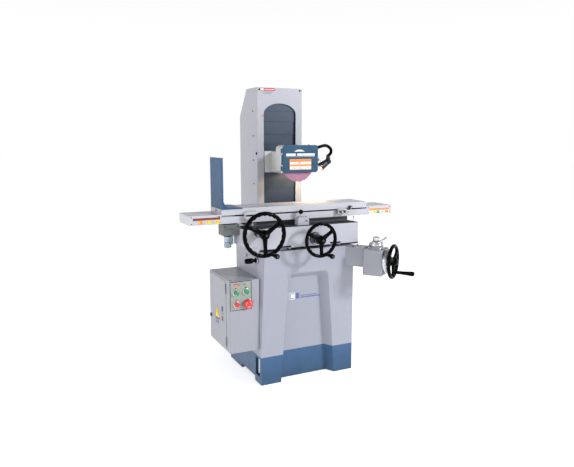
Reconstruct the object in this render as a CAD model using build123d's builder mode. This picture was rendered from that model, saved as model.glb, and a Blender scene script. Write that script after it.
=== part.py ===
"""Manual surface grinder with a cross-feed saddle, a reciprocating table and an elevating wheel head.

Millimetres. +X is to the right along the table, +Y to the back, +Z up. The origin is on the floor,
at the centre of the four anchor holes.
"""

import math
import os

from build123d import *

os.makedirs("parts", exist_ok=True)

# ---------------------------------------------------------------- driving dimensions
# base
BASE_HALF = 300
BASE_FRONT = -200
BASE_BACK = 175
BASE_TOP = 772
PLINTH_TOP = 165
PLINTH_BACK = 300
SEAT_BACK = 480
SEAT_HALF = 165
SEAT_TOP = 740
WALL = 18
RECESS_DEPTH = 55
ANCHOR_X = 245
ANCHOR_Y = 150
ANCHOR_R = 7
RAIL_X = 160
RAIL_HALF = 30

# column
COLUMN_HALF = 152
COLUMN_FRONT = 187
COLUMN_BACK = 467
COLUMN_TOP = 1697
SHEET = 3
ARCH_HALF = 108
ARCH_SPRING = 1540
ARCH_RISE = 65
WAY_Y = 242

# saddle and table
SADDLE_X = (-330, 316)
SADDLE_Y = (-225, 95)
SADDLE_Z = (784, 909)
TABLE_X = (-500, 425)
TABLE_Y = (-140, 44)
TABLE_Z = (938, 1018)
COVER_X = (-682, 609)
COVER_TOP = 989
SEAT_END = -379
SEAT_Z = 1016
FRONT_RAIL_Y = (-100, -60)
REAR_RAIL_Y = (0, 30)
SLIDE_GAP = 0.25

# head, spindle and wheel
SPINDLE_Z = 1248
WHEEL_R = 101.5
WHEEL_Y = (-60, -41)
SPINDLE_R = 14
BEARING_R = 31
HEAD_Z = (1190, 1319)
GUARD_X = (-118, 123)
GUARD_Z = (1199, 1357)
GUARD_Y = (-72, -9)
DOOR_X = (-109, 123)

# handwheels
SHAFT_GAP = 0.06
TABLE_WHEEL = (-325, -315, 892)
TABLE_WHEEL_R = 124
CROSS_WHEEL = (15, -315, 839)
CROSS_WHEEL_R = 100
FEED_PITCH_R = 8.75
FEED_NUT_R = 10.25
LIFT_ANGLE = 52
LIFT_CORNER = (300, -200)
LIFT_Z = 692
LIFT_WHEEL_S = 243
LIFT_WHEEL_R = 102
SCREW_Y = 227
SCREW_R = 10
PINION_R = 14.32
GEAR_R = 16.35

# electrical cabinet
CABINET_X = (-476, -301)
CABINET_Y = (-179, 167)
CABINET_Z = (212, 623)
DOOR_Y = (-119, 153)
BUTTON_R = 15
BUTTONS = {"start_button": (-441, 558), "table_button": (-382, 560), "stop_button": (-438, 493)}
EMERGENCY = (-374, 492)

# ---------------------------------------------------------------- frames
LIFT_COS = math.cos(math.radians(LIFT_ANGLE))
LIFT_SIN = math.sin(math.radians(LIFT_ANGLE))
LIFT_FRAME = Plane(
    origin=(LIFT_CORNER[0], LIFT_CORNER[1], 0), x_dir=(LIFT_COS, -LIFT_SIN, 0), z_dir=(0, 0, 1)
)
SCREW_S = -(SCREW_Y - LIFT_CORNER[1]) / LIFT_SIN
SCREW_X = LIFT_CORNER[0] + SCREW_S * LIFT_COS


def front_frame(origin):
    """A frame whose local z points at the operator and whose local y points up."""
    return Plane(origin=origin, x_dir=(1, 0, 0), z_dir=(0, -1, 0))


def lift_frame(s):
    """A frame on the elevating shaft, s along it from the base's corner, local z outwards."""
    origin = (LIFT_CORNER[0] + s * LIFT_COS, LIFT_CORNER[1] - s * LIFT_SIN, LIFT_Z)
    return Plane(origin=origin, x_dir=(LIFT_SIN, LIFT_COS, 0), z_dir=(LIFT_COS, -LIFT_SIN, 0))


# ---------------------------------------------------------------- helpers
def block(x, y, z, mode=Mode.ADD, frame=Plane.XY):
    """A box between two limits on each axis of a frame."""
    centre = ((x[0] + x[1]) / 2, (y[0] + y[1]) / 2, (z[0] + z[1]) / 2)
    with Locations(frame.location * Location(centre)):
        Box(x[1] - x[0], y[1] - y[0], z[1] - z[0], mode=mode)


def disc(frame, radius, low, high, mode=Mode.ADD, at=(0, 0)):
    """A cylinder along a frame's local z, between two heights."""
    with Locations(frame.location * Location((at[0], at[1], (low + high) / 2))):
        Cylinder(radius, high - low, mode=mode)


def cone(frame, low_r, high_r, low, high, mode=Mode.ADD, at=(0, 0)):
    """A cone along a frame's local z."""
    with Locations(frame.location * Location((at[0], at[1], (low + high) / 2))):
        Cone(low_r, high_r, high - low, mode=mode)


def prism(plane, points, amount, mode=Mode.ADD, both=False):
    """A polygon on a plane, extruded."""
    with BuildSketch(plane) as profile:
        with BuildLine():
            Polyline(*points, close=True)
        make_face()
    extrude(profile.sketch, amount=amount, both=both, mode=mode)


def along_y(x, z, y=0):
    """A frame on an axis parallel to Y, local z towards +Y."""
    return Plane(origin=(x, y, z), x_dir=(1, 0, 0), z_dir=(0, 1, 0))


def along_x(y, z, x=0):
    """A frame on an axis parallel to X, local z towards +X."""
    return Plane(origin=(x, y, z), x_dir=(0, 1, 0), z_dir=(1, 0, 0))


def along_z(x, y):
    """A frame on a vertical axis."""
    return Plane(origin=(x, y, 0), x_dir=(1, 0, 0), z_dir=(0, 0, 1))


def save(name, part):
    part.label = name
    export_step(part, "parts/" + name + ".step")


# ---------------------------------------------------------------- base
def base_casting():
    """Hollow cast pedestal with a front recess, a plinth and a seat for the column."""
    inner = BASE_HALF - WALL
    with BuildPart() as base:
        block((-BASE_HALF, BASE_HALF), (BASE_FRONT, BASE_BACK), (0, BASE_TOP))
        block((-BASE_HALF, BASE_HALF), (BASE_BACK, PLINTH_BACK), (0, PLINTH_TOP))
        block((-200, 200), (PLINTH_BACK, SEAT_BACK), (0, PLINTH_TOP))
        block((-SEAT_HALF, SEAT_HALF), (BASE_BACK, SEAT_BACK), (0, SEAT_TOP))
        # the front left corner tapers into a facet
        for height, front, side in ((PLINTH_TOP, 0.4, 1.0), (BASE_TOP + 1, 25, 60)):
            with BuildSketch(Plane.XY.offset(height)):
                with BuildLine():
                    Polyline(
                        (-BASE_HALF - 1, BASE_FRONT - 1),
                        (-BASE_HALF + front, BASE_FRONT - 1),
                        (-BASE_HALF - 1, BASE_FRONT + side),
                        close=True,
                    )
                make_face()
        loft(mode=Mode.SUBTRACT)
        # tapered front recess, open at the floor
        outer = ((-181, -50), (181, -50), (130, 637), (-130, 637))
        deep = ((-155, -50), (155, -50), (92, 602), (-92, 602))
        for depth, points, corner in ((-2, outer, 26), (RECESS_DEPTH, deep, 18)):
            with BuildSketch(front_frame((0, BASE_FRONT + depth, 0))) as face:
                with BuildLine():
                    Polyline(*points, close=True)
                make_face()
                fillet(face.vertices().group_by(Axis.Z)[-1], corner)
        loft(mode=Mode.SUBTRACT)
        # interior
        front_wall = BASE_FRONT + RECESS_DEPTH + WALL + 7
        block((-inner, inner), (front_wall, BASE_BACK - WALL), (-1, 735), Mode.SUBTRACT)
        for side in (-1, 1):
            ends = sorted((side * 200, side * 262))
            block(ends, (BASE_FRONT + WALL, front_wall + 1), (-1, 735), Mode.SUBTRACT)
        block((-262, 262), (BASE_FRONT + WALL, front_wall + 1), (660, 735), Mode.SUBTRACT)
        block((-147, 147), (BASE_BACK, SEAT_BACK - WALL), (-1, 722), Mode.SUBTRACT)
        block((-inner, inner), (156, PLINTH_BACK - WALL), (-1, 147), Mode.SUBTRACT)
        block((-182, 182), (281, SEAT_BACK - WALL), (-1, 147), Mode.SUBTRACT)
        # lifted skirts between the feet and the lifting pocket in the left side
        block((-301, 301), (-105, 105), (-1, 27), Mode.SUBTRACT)
        block((-301, -261), (-178, -116), (45, 150), Mode.SUBTRACT)
        # anchor pads
        for x in (-1, 1):
            for y in (-1, 1):
                ends = sorted((x * 200, x * 284))
                block(ends, (y * ANCHOR_Y - 35, y * ANCHOR_Y + 35), (0, 25))
        with Locations(*[(x * ANCHOR_X, y * ANCHOR_Y, 12.5) for x in (-1, 1) for y in (-1, 1)]):
            Cylinder(ANCHOR_R, 27, mode=Mode.SUBTRACT)
        # ways that carry the saddle
        for x in (-RAIL_X, RAIL_X):
            block((x - RAIL_HALF, x + RAIL_HALF), (-180, BASE_BACK), (BASE_TOP, 796))
        # elevating shaft, elevating screw and oiler rod
        disc(lift_frame(0), 9 + SHAFT_GAP, SCREW_S, 60, Mode.SUBTRACT)
        disc(along_z(SCREW_X, SCREW_Y), SCREW_R + SHAFT_GAP, 700, 760, Mode.SUBTRACT)
        disc(along_x(-145, 721), 12 + SHAFT_GAP, -301, -255, Mode.SUBTRACT)
    save("base_casting", base.part)


def cross_feed_nut():
    """Bronze nut block on the base for the cross-feed screw."""
    x, _, z = CROSS_WHEEL
    with BuildPart() as nut:
        block((x - 28, x + 28), (-60, -20), (BASE_TOP, 868))
        disc(along_y(x, z), FEED_NUT_R, -61, -19, Mode.SUBTRACT)
        chamfer(nut.edges().filter_by(Axis.Y).group_by(Axis.Z)[-1], 8)
    save("cross_feed_nut", nut.part)


# ---------------------------------------------------------------- column
def column_casting():
    """Cast column with a dovetail slot on its front for the wheel head."""
    slot = (
        (-78.3, WAY_Y - 1), (78.3, WAY_Y - 1), (78.3, WAY_Y + 0.2), (86.4, 262.3), (88, 262.3),
        (88, 440), (-88, 440), (-88, 262.3), (-86.4, 262.3), (-78.3, WAY_Y + 0.2),
    )
    with BuildPart() as column:
        block((-125, 125), (WAY_Y + 0.2, 455), (SEAT_TOP, 1660))
        prism(Plane.XY.offset(SEAT_TOP - 1), slot, 922, Mode.SUBTRACT)
        with Locations((0, 447, 850), (0, 447, 1100), (0, 447, 1350), (0, 447, 1580)):
            Box(110, 30, 120, mode=Mode.SUBTRACT)
        prism(Plane.YZ, ((352, 1661), (456, 1661), (456, 1518)), 130, Mode.SUBTRACT, both=True)
    save("column_casting", column.part)


def column_cover():
    """Sheet cover round the column with an arched front opening and rear louvres."""
    shell = ((187, 740), (467, 740), (467, 1535), (351, COLUMN_TOP), (187, COLUMN_TOP))
    hollow = ((190, 739), (464, 739), (464, 1534), (349.5, 1694), (190, 1694))
    side = Plane.YZ
    with BuildPart() as cover:
        prism(side, shell, COLUMN_HALF, both=True)
        front = cover.edges().filter_by(Axis.Z).group_by(Axis.Y)[0]
        fillet(front, 5)
        prism(side, hollow, COLUMN_HALF - SHEET, Mode.SUBTRACT, both=True)
        with BuildSketch(front_frame((0, COLUMN_FRONT + SHEET + 1, 0))):
            with Locations((0, (760 + ARCH_SPRING) / 2)):
                Rectangle(2 * ARCH_HALF, ARCH_SPRING - 760)
            with Locations((0, ARCH_SPRING)):
                Ellipse(ARCH_HALF, ARCH_RISE)
        extrude(amount=8, mode=Mode.SUBTRACT)
        louvres = [(x, COLUMN_BACK, 900 + 30 * k) for k in range(12) for x in (-55, 55)]
        with Locations(*louvres):
            Box(80, 12, 7, mode=Mode.SUBTRACT)
    save("column_cover", cover.part)


def column_screws():
    """Cap screws that hold the column cover, and the clamp plug on its left edge."""
    sides = ((250, 1559), (247, 1411), (245, 1264), (243, 1119), (240, 988))
    with BuildPart() as screws:
        for y, z in sides:
            disc(along_x(y, z), 4, -COLUMN_HALF - 2.5, -COLUMN_HALF)
            disc(along_x(y, z), 4, COLUMN_HALF, COLUMN_HALF + 2.5)
        for x in (-136, 136):
            disc(along_y(x, 1684), 3.5, COLUMN_FRONT - 2, COLUMN_FRONT)
        disc(along_x(196, 1305), 7, -155, -152)
    save("column_screws", screws.part)


# Telescoping plates: name, layer in y, bottom and top at rest.
PLATES = {
    "way_cover_upper_1": (205, 1360, 1490),
    "way_cover_upper_2": (202, 1419, 1549),
    "way_cover_upper_3": (199, 1497, 1627),
    "way_cover_lower_1": (199, 1003, 1133),
    "way_cover_lower_2": (202, 952, 1082),
}


def way_plate(low, high, layer):
    """One flat telescoping plate, by its bottom, its top and its layer in y."""
    block((-112, 112), (layer, layer + 2), (low, high))


def way_covers():
    """Plates that slide over each other to keep the column ways covered."""
    for name, (layer, low, high) in PLATES.items():
        with BuildPart() as plate:
            way_plate(low, high, layer)
        save(name, plate.part)
    with BuildPart() as fixed:
        way_plate(1560, 1685, 196)
        way_plate(750, 1064, 205)
        for sign in (-1, 1):
            ends = sorted((sign * 113, sign * 119))
            block(ends, (193, 211), (745, 1690))
            block(sorted((sign * 111, sign * 119)), (196, 198), (1560, 1685))
            block(sorted((sign * 111, sign * 119)), (205, 207), (750, 1064))
    save("fixed_way_covers", fixed.part)
    with BuildPart() as riding:
        way_plate(HEAD_Z[1], 1439, 208)
        way_plate(1090, HEAD_Z[0], 196)
    save("head_way_covers", riding.part)


# ---------------------------------------------------------------- saddle
def saddle_casting():
    """Cross slide: rides on the base ways and carries the table ways."""
    x_end, y_end, z_end = SADDLE_X, SADDLE_Y, SADDLE_Z
    with BuildPart() as saddle:
        block(x_end, y_end, z_end)
        block((-400, x_end[0]), (y_end[0], -55), (812, z_end[1]))
        fillet(saddle.edges().filter_by(Axis.Z).group_by(Axis.Y)[0], 5)
        # pockets and base-way grooves from below
        block((-110, 110), (-200, 70), (z_end[0] - 1, 885), Mode.SUBTRACT)
        block((-308, -210), (-200, 70), (z_end[0] - 1, 870), Mode.SUBTRACT)
        block((210, 294), (-200, 70), (z_end[0] - 1, 885), Mode.SUBTRACT)
        for x in (-RAIL_X, RAIL_X):
            edges = (x - RAIL_HALF - SLIDE_GAP, x + RAIL_HALF + SLIDE_GAP)
            block(edges, (y_end[0] - 1, y_end[1] + 1), (z_end[0] - 1, 796 + SLIDE_GAP), Mode.SUBTRACT)
        # table ways
        block(x_end, FRONT_RAIL_Y, (z_end[1] - 1, TABLE_Z[0] + 12))
        block(x_end, REAR_RAIL_Y, (z_end[1] - 1, TABLE_Z[0] - SLIDE_GAP))
        # bearing blocks of the table pinion, either side of the rack
        x, _, z = TABLE_WHEEL
        block((x - 24, x + 24), (-152, -139), (z_end[1] - 1, 934))
        block((x - 24, x + 24), (-103, -99), (z_end[1] - 1, 936))
        # handwheel shaft, its gear and the pinion shaft
        shaft = along_y(x, z)
        disc(shaft, 12 + SHAFT_GAP, -240, -90, Mode.SUBTRACT)
        disc(shaft, 19, -139, -120, Mode.SUBTRACT)
        block((x - 19, x + 19), (-139, -120), (z, z_end[1] + 1), Mode.SUBTRACT)
        block((x - 17, x + 17), (-121, -102.9), (906, z_end[1] + 1), Mode.SUBTRACT)
        disc(along_y(x, z + 33), 7 + SHAFT_GAP, -160, -95, Mode.SUBTRACT)
        # cross-feed screw bearing
        disc(along_y(CROSS_WHEEL[0], CROSS_WHEEL[2]), FEED_PITCH_R + SHAFT_GAP, -230, -190, Mode.SUBTRACT)
    save("saddle_casting", saddle.part)


def saddle_trim():
    """Mat on the saddle, the reversing stop block, and the lubricator with its bowls."""
    with BuildPart() as mat:
        block((-396, 314), (-222, -153), (SADDLE_Z[1], SADDLE_Z[1] + 1.5))
        block((-67.5, 2.5), (-197.5, -155.5), (909, 911), Mode.SUBTRACT)
    save("saddle_top_mat", mat.part)
    with BuildPart() as stop:
        block((-67, 2), (-197, -156), (SADDLE_Z[1], 955))
        chamfer(stop.edges().group_by(Axis.Z)[-1], 3)
        disc(along_z(-40, -176), 5.06, 930, 960, Mode.SUBTRACT)
        disc(along_y(-15, 935), 4, -203, -197)
        disc(along_z(302, -190), 2, SADDLE_Z[1] + 1.5, 936)
    save("stop_block", stop.part)
    with BuildPart() as bracket:
        block((-495, -400), (-145, -60), (872, 932))
        block((-450, -400), (-60, -25), (872, 908))
        fillet(bracket.edges().filter_by(Axis.Z).sort_by(Axis.X)[:2], 10)
    save("lubricator_bracket", bracket.part)
    with BuildPart() as bowls:
        for x, y, low in ((-455, -103, 800), (-424, -48, 806)):
            disc(along_z(x, y), 21, low, 872)
            disc(along_z(x, y), 17.5, low + 4, 869, Mode.SUBTRACT)
        fillet(bowls.edges().filter_by(GeomType.CIRCLE).group_by(Axis.Z)[0], 4)
    save("lubricator_bowls", bowls.part)


# ---------------------------------------------------------------- table
def table_casting():
    """Work table: way grooves and rack slot below, T-slots above and in its front face."""
    with BuildPart() as table:
        block(TABLE_X, TABLE_Y, TABLE_Z)
        block((-600, TABLE_X[0]), (-128, 32), (950, 978))
        block((TABLE_X[1], 540), (-128, 32), (950, 978))
        # grooves over the saddle's ways
        low = TABLE_Z[0] - 1
        groove = (FRONT_RAIL_Y[0] - SLIDE_GAP, FRONT_RAIL_Y[1] + SLIDE_GAP)
        block((-601, 541), groove, (low, TABLE_Z[0] + 12 + SLIDE_GAP), Mode.SUBTRACT)
        block((-601, 541), (-138, -104), (low, 950), Mode.SUBTRACT)
        block((-480, 405), (-52, -8), (low, 985), Mode.SUBTRACT)
        # gutters beside the working face
        block((-501, 426), (-133, -125), (1004, 1019), Mode.SUBTRACT)
        block((-501, 426), (29, 37), (1004, 1019), Mode.SUBTRACT)
        # central T-slot
        block((-501, 426), (-55, -41), (1003, 1019), Mode.SUBTRACT)
        block((-501, 426), (-60, -36), (996, 1004), Mode.SUBTRACT)
        # milled seat for the splash guard's foot
        block((TABLE_X[0] - 1, SEAT_END), (TABLE_Y[0] - 1, TABLE_Y[1] + 1), (SEAT_Z, 1019), Mode.SUBTRACT)
        # dog slot in the front face
        block((-501, 426), (-141, -134), (975, 983), Mode.SUBTRACT)
        block((-501, 426), (-134.5, -128), (972, 986), Mode.SUBTRACT)
        for height in (SEAT_Z, TABLE_Z[1]):
            along = table.edges().filter_by(Axis.X).filter_by_position(Axis.Z, height - 0.1, height + 0.1)
            fillet(along.sort_by(Axis.Y)[0], 2)
    save("table_casting", table.part)
    with BuildPart() as rack:
        block((-560, -90), (-118, -105), (939.7, 950))
    save("table_rack", rack.part)


def table_end_covers():
    """Bottomless sheet covers over both ends of the table."""
    with BuildPart() as covers:
        for low, high, open_end in ((COVER_X[0], TABLE_X[0], 1), (TABLE_X[1], COVER_X[1], -1)):
            block((low, high), TABLE_Y, (TABLE_Z[0], COVER_TOP))
        inner_y = (TABLE_Y[0] + 2.5, TABLE_Y[1] - 2.5)
        block((COVER_X[0] + 2.5, TABLE_X[0] + 1), inner_y, (TABLE_Z[0] - 1, COVER_TOP - 2.5), Mode.SUBTRACT)
        block((TABLE_X[1] - 1, COVER_X[1] - 2.5), inner_y, (TABLE_Z[0] - 1, COVER_TOP - 2.5), Mode.SUBTRACT)
    save("table_end_covers", covers.part)


def splash_guard():
    """Painted plate that stands across the left end of the table."""
    profile = (
        (-500, SEAT_Z), (-500, 1292), (-490, 1292), (-490, 1060), (-482, 1040), (-468, 1028),
        (-440, 1023), (-380, 1021), (-380, SEAT_Z),
    )
    with BuildPart() as guard:
        prism(Plane.XZ.offset(-40), profile, 186)
        slope = ((-497, 1021), (-497, 1300), (-480, 1300), (-370, 1021))
        prism(Plane.XZ.offset(-37), slope, 180, Mode.SUBTRACT)
    save("splash_guard", guard.part)


def stops():
    """Rod in the dog slot, and the two trip dogs clamped along it."""
    with BuildPart() as rod:
        disc(along_x(-137.4, 979), 3, -420, 395)
    save("stop_rod", rod.part)
    with BuildPart() as left:
        block((-372, -300), (-168, -140.5), (958, 999))
        chamfer(left.edges().filter_by(Axis.Y), 4)
        block((-345, -325), (-140.6, -134.9), (975.6, 982.4))
        disc(along_x(-137.4, 979), 3 + 0.08, -350, -320, Mode.SUBTRACT)
        disc(along_y(-336, 968), 6, -180, -168)
    save("stop_dog_left", left.part)
    with BuildPart() as right:
        block((212, 274), (-166, -140.5), (958, 985))
        chamfer(right.edges().filter_by(Axis.Y), 4)
        block((230, 250), (-140.6, -134.9), (975.6, 982.4))
        disc(along_x(-137.4, 979), 3 + 0.08, 225, 255, Mode.SUBTRACT)
        disc(along_y(232, 968), 6, -182, -166)
        disc(along_y(258, 968), 6, -182, -166)
        block((270, 309), (-158, -150), (968, 976))
        block((299, 309), (-158, -150), (968, 999))
        disc(along_y(303, 992), 8, -164, -144)
    save("stop_dog_right", right.part)
    with BuildPart() as plunger:
        disc(along_z(-40, -176), 5, 932, 975)
        with Locations((-40, -176, 984)):
            Sphere(13.5)
    save("stop_plunger", plunger.part)


# ---------------------------------------------------------------- handwheels
def handwheel(name, frame, radius, rim_r, bore, spokes, grip_angle, stud):
    """Three-spoke handwheel with a stud for its revolving grip."""
    middle = radius - rim_r
    with BuildPart() as wheel:
        side = Plane(origin=frame.origin, x_dir=frame.x_dir, z_dir=frame.y_dir)
        with BuildSketch(side) as section:
            with Locations((middle, 0)):
                RectangleRounded(2 * rim_r, 2 * rim_r, rim_r - 1.5)
        revolve(section.sketch, axis=Axis(origin=frame.origin, direction=frame.z_dir))
        disc(frame, 26, -16, 18)
        cone(frame, 26, 18, 18, 26)
        for angle in spokes:
            spoke = frame.location * Location((0, 0, 0), (0, 0, angle))
            spoke = spoke * Location((middle / 2 + 8, 0, 0), (0, 90, 0))
            with Locations(spoke):
                Cone(11, 8, middle - 18)
        x = (middle - 3) * math.cos(math.radians(grip_angle))
        y = (middle - 3) * math.sin(math.radians(grip_angle))
        disc(frame, 8.5, 3, rim_r + 3, at=(x, y))
        disc(frame, 5, rim_r + 1, stud + rim_r - 3, at=(x, y))
        disc(frame, bore + 0.05, -20, 14, Mode.SUBTRACT)
    save(name, wheel.part)
    grip = name.replace("handwheel", "grip")
    low = rim_r + 3.3
    with BuildPart() as handle:
        cone(frame, 9.5, 14, low, low + stud * 0.65, at=(x, y))
        disc(frame, 14, low + stud * 0.65, low + stud, at=(x, y))
        outward = Axis(origin=frame.origin, direction=frame.z_dir)
        fillet(handle.edges().filter_by(GeomType.CIRCLE).sort_by(outward)[-1:], 3)
        disc(frame, 5 + SHAFT_GAP, 0, low + stud - 5, Mode.SUBTRACT, at=(x, y))
    save(grip, handle.part)


def table_drive():
    """Handwheel, shaft and gear, and the pinion shaft that drives the rack."""
    frame = front_frame(TABLE_WHEEL)
    handwheel("table_handwheel", frame, TABLE_WHEEL_R, 12, 12, (33, 153, 273), -72, 78)
    x, _, z = TABLE_WHEEL
    line = along_y(x, z)
    with BuildPart() as shaft:
        disc(line, 12, -329, -92)
        disc(line, 24, -296, -226)
        disc(line, GEAR_R, -136, -123)
    save("table_handwheel_shaft", shaft.part)
    upper = along_y(x, z + 33)
    with BuildPart() as pinion:
        disc(upper, 7, -150, -100)
        disc(upper, GEAR_R, -136, -123)
        disc(upper, PINION_R, -118, -105)
    save("table_pinion", pinion.part)


def cross_feed():
    """Handwheel, graduated dial and screw of the cross feed."""
    frame = front_frame(CROSS_WHEEL)
    handwheel("cross_handwheel", frame, CROSS_WHEEL_R, 10.5, 10, (33, 153, 273), -70, 70)
    line = along_y(CROSS_WHEEL[0], CROSS_WHEEL[2])
    with BuildPart() as screw:
        disc(line, SCREW_R, -327, -226)
        # the journal and the thread, as one cylinder at the thread's pitch radius
        disc(line, FEED_PITCH_R, -227, 66)
        disc(line, 34, -262, -226)
        disc(line, 26, -297, -262)
    save("cross_feed_screw", screw.part)


# ---------------------------------------------------------------- elevating drive
def elevating_bracket():
    """Angled arm and gearbox on the base's front right corner."""
    with BuildPart() as bracket:
        block((-40, 82), (-44, 44), (652, 766), frame=LIFT_FRAME)
        block((81, 197), (-69, 69), (612, 761), frame=LIFT_FRAME)
        upright = [e for e in bracket.edges().filter_by(Axis.Z) if e.length > 140]
        fillet(upright, 9)
        block((89, 189), (-61, 61), (620, 753), Mode.SUBTRACT, frame=LIFT_FRAME)
        disc(lift_frame(0), 9 + SHAFT_GAP, -60, 200, Mode.SUBTRACT)
        block((0, BASE_HALF), (BASE_FRONT, 0), (600, 800), Mode.SUBTRACT)
        disc(LIFT_FRAME, 41, 760, 795, at=(139, 0))
        disc(LIFT_FRAME, 6 + SHAFT_GAP, 770, 800, Mode.SUBTRACT, at=(139, 0))
        # socket of the clamp lever
        block((131, 160), (38, 52), (766, 790), frame=LIFT_FRAME)
        disc(LIFT_FRAME, 4 + SHAFT_GAP, 772, 800, Mode.SUBTRACT, at=(150, 46))
    save("elevating_bracket", bracket.part)


def elevating_train():
    """Handwheel, dial and input shaft, the vertical screw, the fine-feed knob and the lever."""
    frame = lift_frame(LIFT_WHEEL_S)
    handwheel("elevating_handwheel", frame, LIFT_WHEEL_R, 10.5, 9, (33, 153, 273), -56, 100)
    line = lift_frame(0)
    bevel = lift_frame(SCREW_S)
    with BuildPart() as shaft:
        disc(line, 9, SCREW_S + 29, LIFT_WHEEL_S + 12)
        disc(line, 70, 198.5, 214)
        disc(line, 62, 214, 218)
        disc(line, 24, 218, LIFT_WHEEL_S - 17)
        cone(bevel, 7.6, 14.7, 16, 30)
    save("elevating_shaft", shaft.part)
    post = along_z(SCREW_X, SCREW_Y)
    with BuildPart() as screw:
        cone(post, 15.7, 29.4, LIFT_Z + 8, LIFT_Z + 15)
        disc(post, SCREW_R, LIFT_Z + 14, 1600)
    save("elevating_screw", screw.part)
    with BuildPart() as knob:
        disc(LIFT_FRAME, 6, 772, 797, at=(139, 0))
        cone(LIFT_FRAME, 29, 20, 795.4, 808, at=(139, 0))
        disc(LIFT_FRAME, 20, 808, 829, at=(139, 0))
        fillet(knob.edges().filter_by(GeomType.CIRCLE).group_by(Axis.Z)[-1], 2)
    save("fine_feed_knob", knob.part)
    with BuildPart() as lever:
        disc(LIFT_FRAME, 4, 774, 790.5, at=(150, 46))
        disc(LIFT_FRAME, 6, 790.4, 800, at=(150, 46))
        arm = LIFT_FRAME.location * Location((150, 46, 796)) * Location((0, 0, 0), (0, 0, 50))
        arm = arm * Location((24, 0, 10), (0, 66, 0))
        with Locations(arm):
            Cylinder(4.5, 46)
    save("elevating_clamp_lever", lever.part)


# ---------------------------------------------------------------- wheel head
def wheel_head():
    """Head casting: slide on the column ways and the housing of the spindle."""
    low, high = HEAD_Z
    tongue = ((-78, WAY_Y - 0.5), (78, WAY_Y - 0.5), (78, WAY_Y), (86, 262), (-86, 262), (-78, WAY_Y))
    spindle = along_y(0, SPINDLE_Z)
    with BuildPart() as head:
        block((-104, 104), (COLUMN_FRONT, 214), HEAD_Z)
        block((-57, 57), (GUARD_Y[1], COLUMN_FRONT + 1), HEAD_Z)
        fillet(head.edges().filter_by(Axis.Y).filter_by(lambda e: abs(e.center().X) < 60), 8)
        block((-95, 95), (213, WAY_Y), (1130, 1380))
        prism(Plane.XY.offset(1130), tongue, 250)
        disc(spindle, 16, GUARD_Y[1] - 1, 263, Mode.SUBTRACT)
        disc(spindle, 20, 0, 180, Mode.SUBTRACT)
        disc(spindle, BEARING_R, GUARD_Y[1] - 1, 22, Mode.SUBTRACT)
        disc(spindle, BEARING_R, 158, 186, Mode.SUBTRACT)
        disc(along_z(SCREW_X, SCREW_Y), SCREW_R + SHAFT_GAP, 1129, 1381, Mode.SUBTRACT)
    save("head_casting", head.part)
    with BuildPart() as bearings:
        for start in (-4, 160):
            disc(spindle, BEARING_R - 0.05, start, start + 24)
            disc(spindle, SPINDLE_R + 0.05, start - 1, start + 25, Mode.SUBTRACT)
    save("spindle_bearings", bearings.part)
    with BuildPart() as motor:
        disc(spindle, 73, 262, 434)
        disc(spindle, 66, 270, 426, Mode.SUBTRACT)
        disc(spindle, SPINDLE_R + SHAFT_GAP, 261, 271, Mode.SUBTRACT)
        with Locations(spindle.location):
            with PolarLocations(73, 24):
                with Locations((0, 0, 345)):
                    Box(3, 4, 140)
    save("spindle_motor", motor.part)


def spindle_parts():
    """Spindle with its flanges, nut and motor rotor, and the grinding wheel."""
    spindle = along_y(0, SPINDLE_Z)
    with BuildPart() as shaft:
        disc(spindle, SPINDLE_R, -71, 420)
        disc(spindle, 15.8, WHEEL_Y[0] - 1, WHEEL_Y[1] + 1)
        disc(spindle, 38, WHEEL_Y[1], WHEEL_Y[1] + 6)
        disc(spindle, 38, WHEEL_Y[0] - 6, WHEEL_Y[0])
        disc(spindle, 19, -69, -66)
        disc(spindle, 52, 290, 400)
    save("spindle", shaft.part)
    with BuildPart() as wheel:
        disc(spindle, WHEEL_R, WHEEL_Y[0] + 0.05, WHEEL_Y[1] - 0.05)
        disc(spindle, 15.875, WHEEL_Y[0] - 1, WHEEL_Y[1] + 1, Mode.SUBTRACT)
    save("grinding_wheel", wheel.part)


HINGE = (-114.5, -79)


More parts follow.
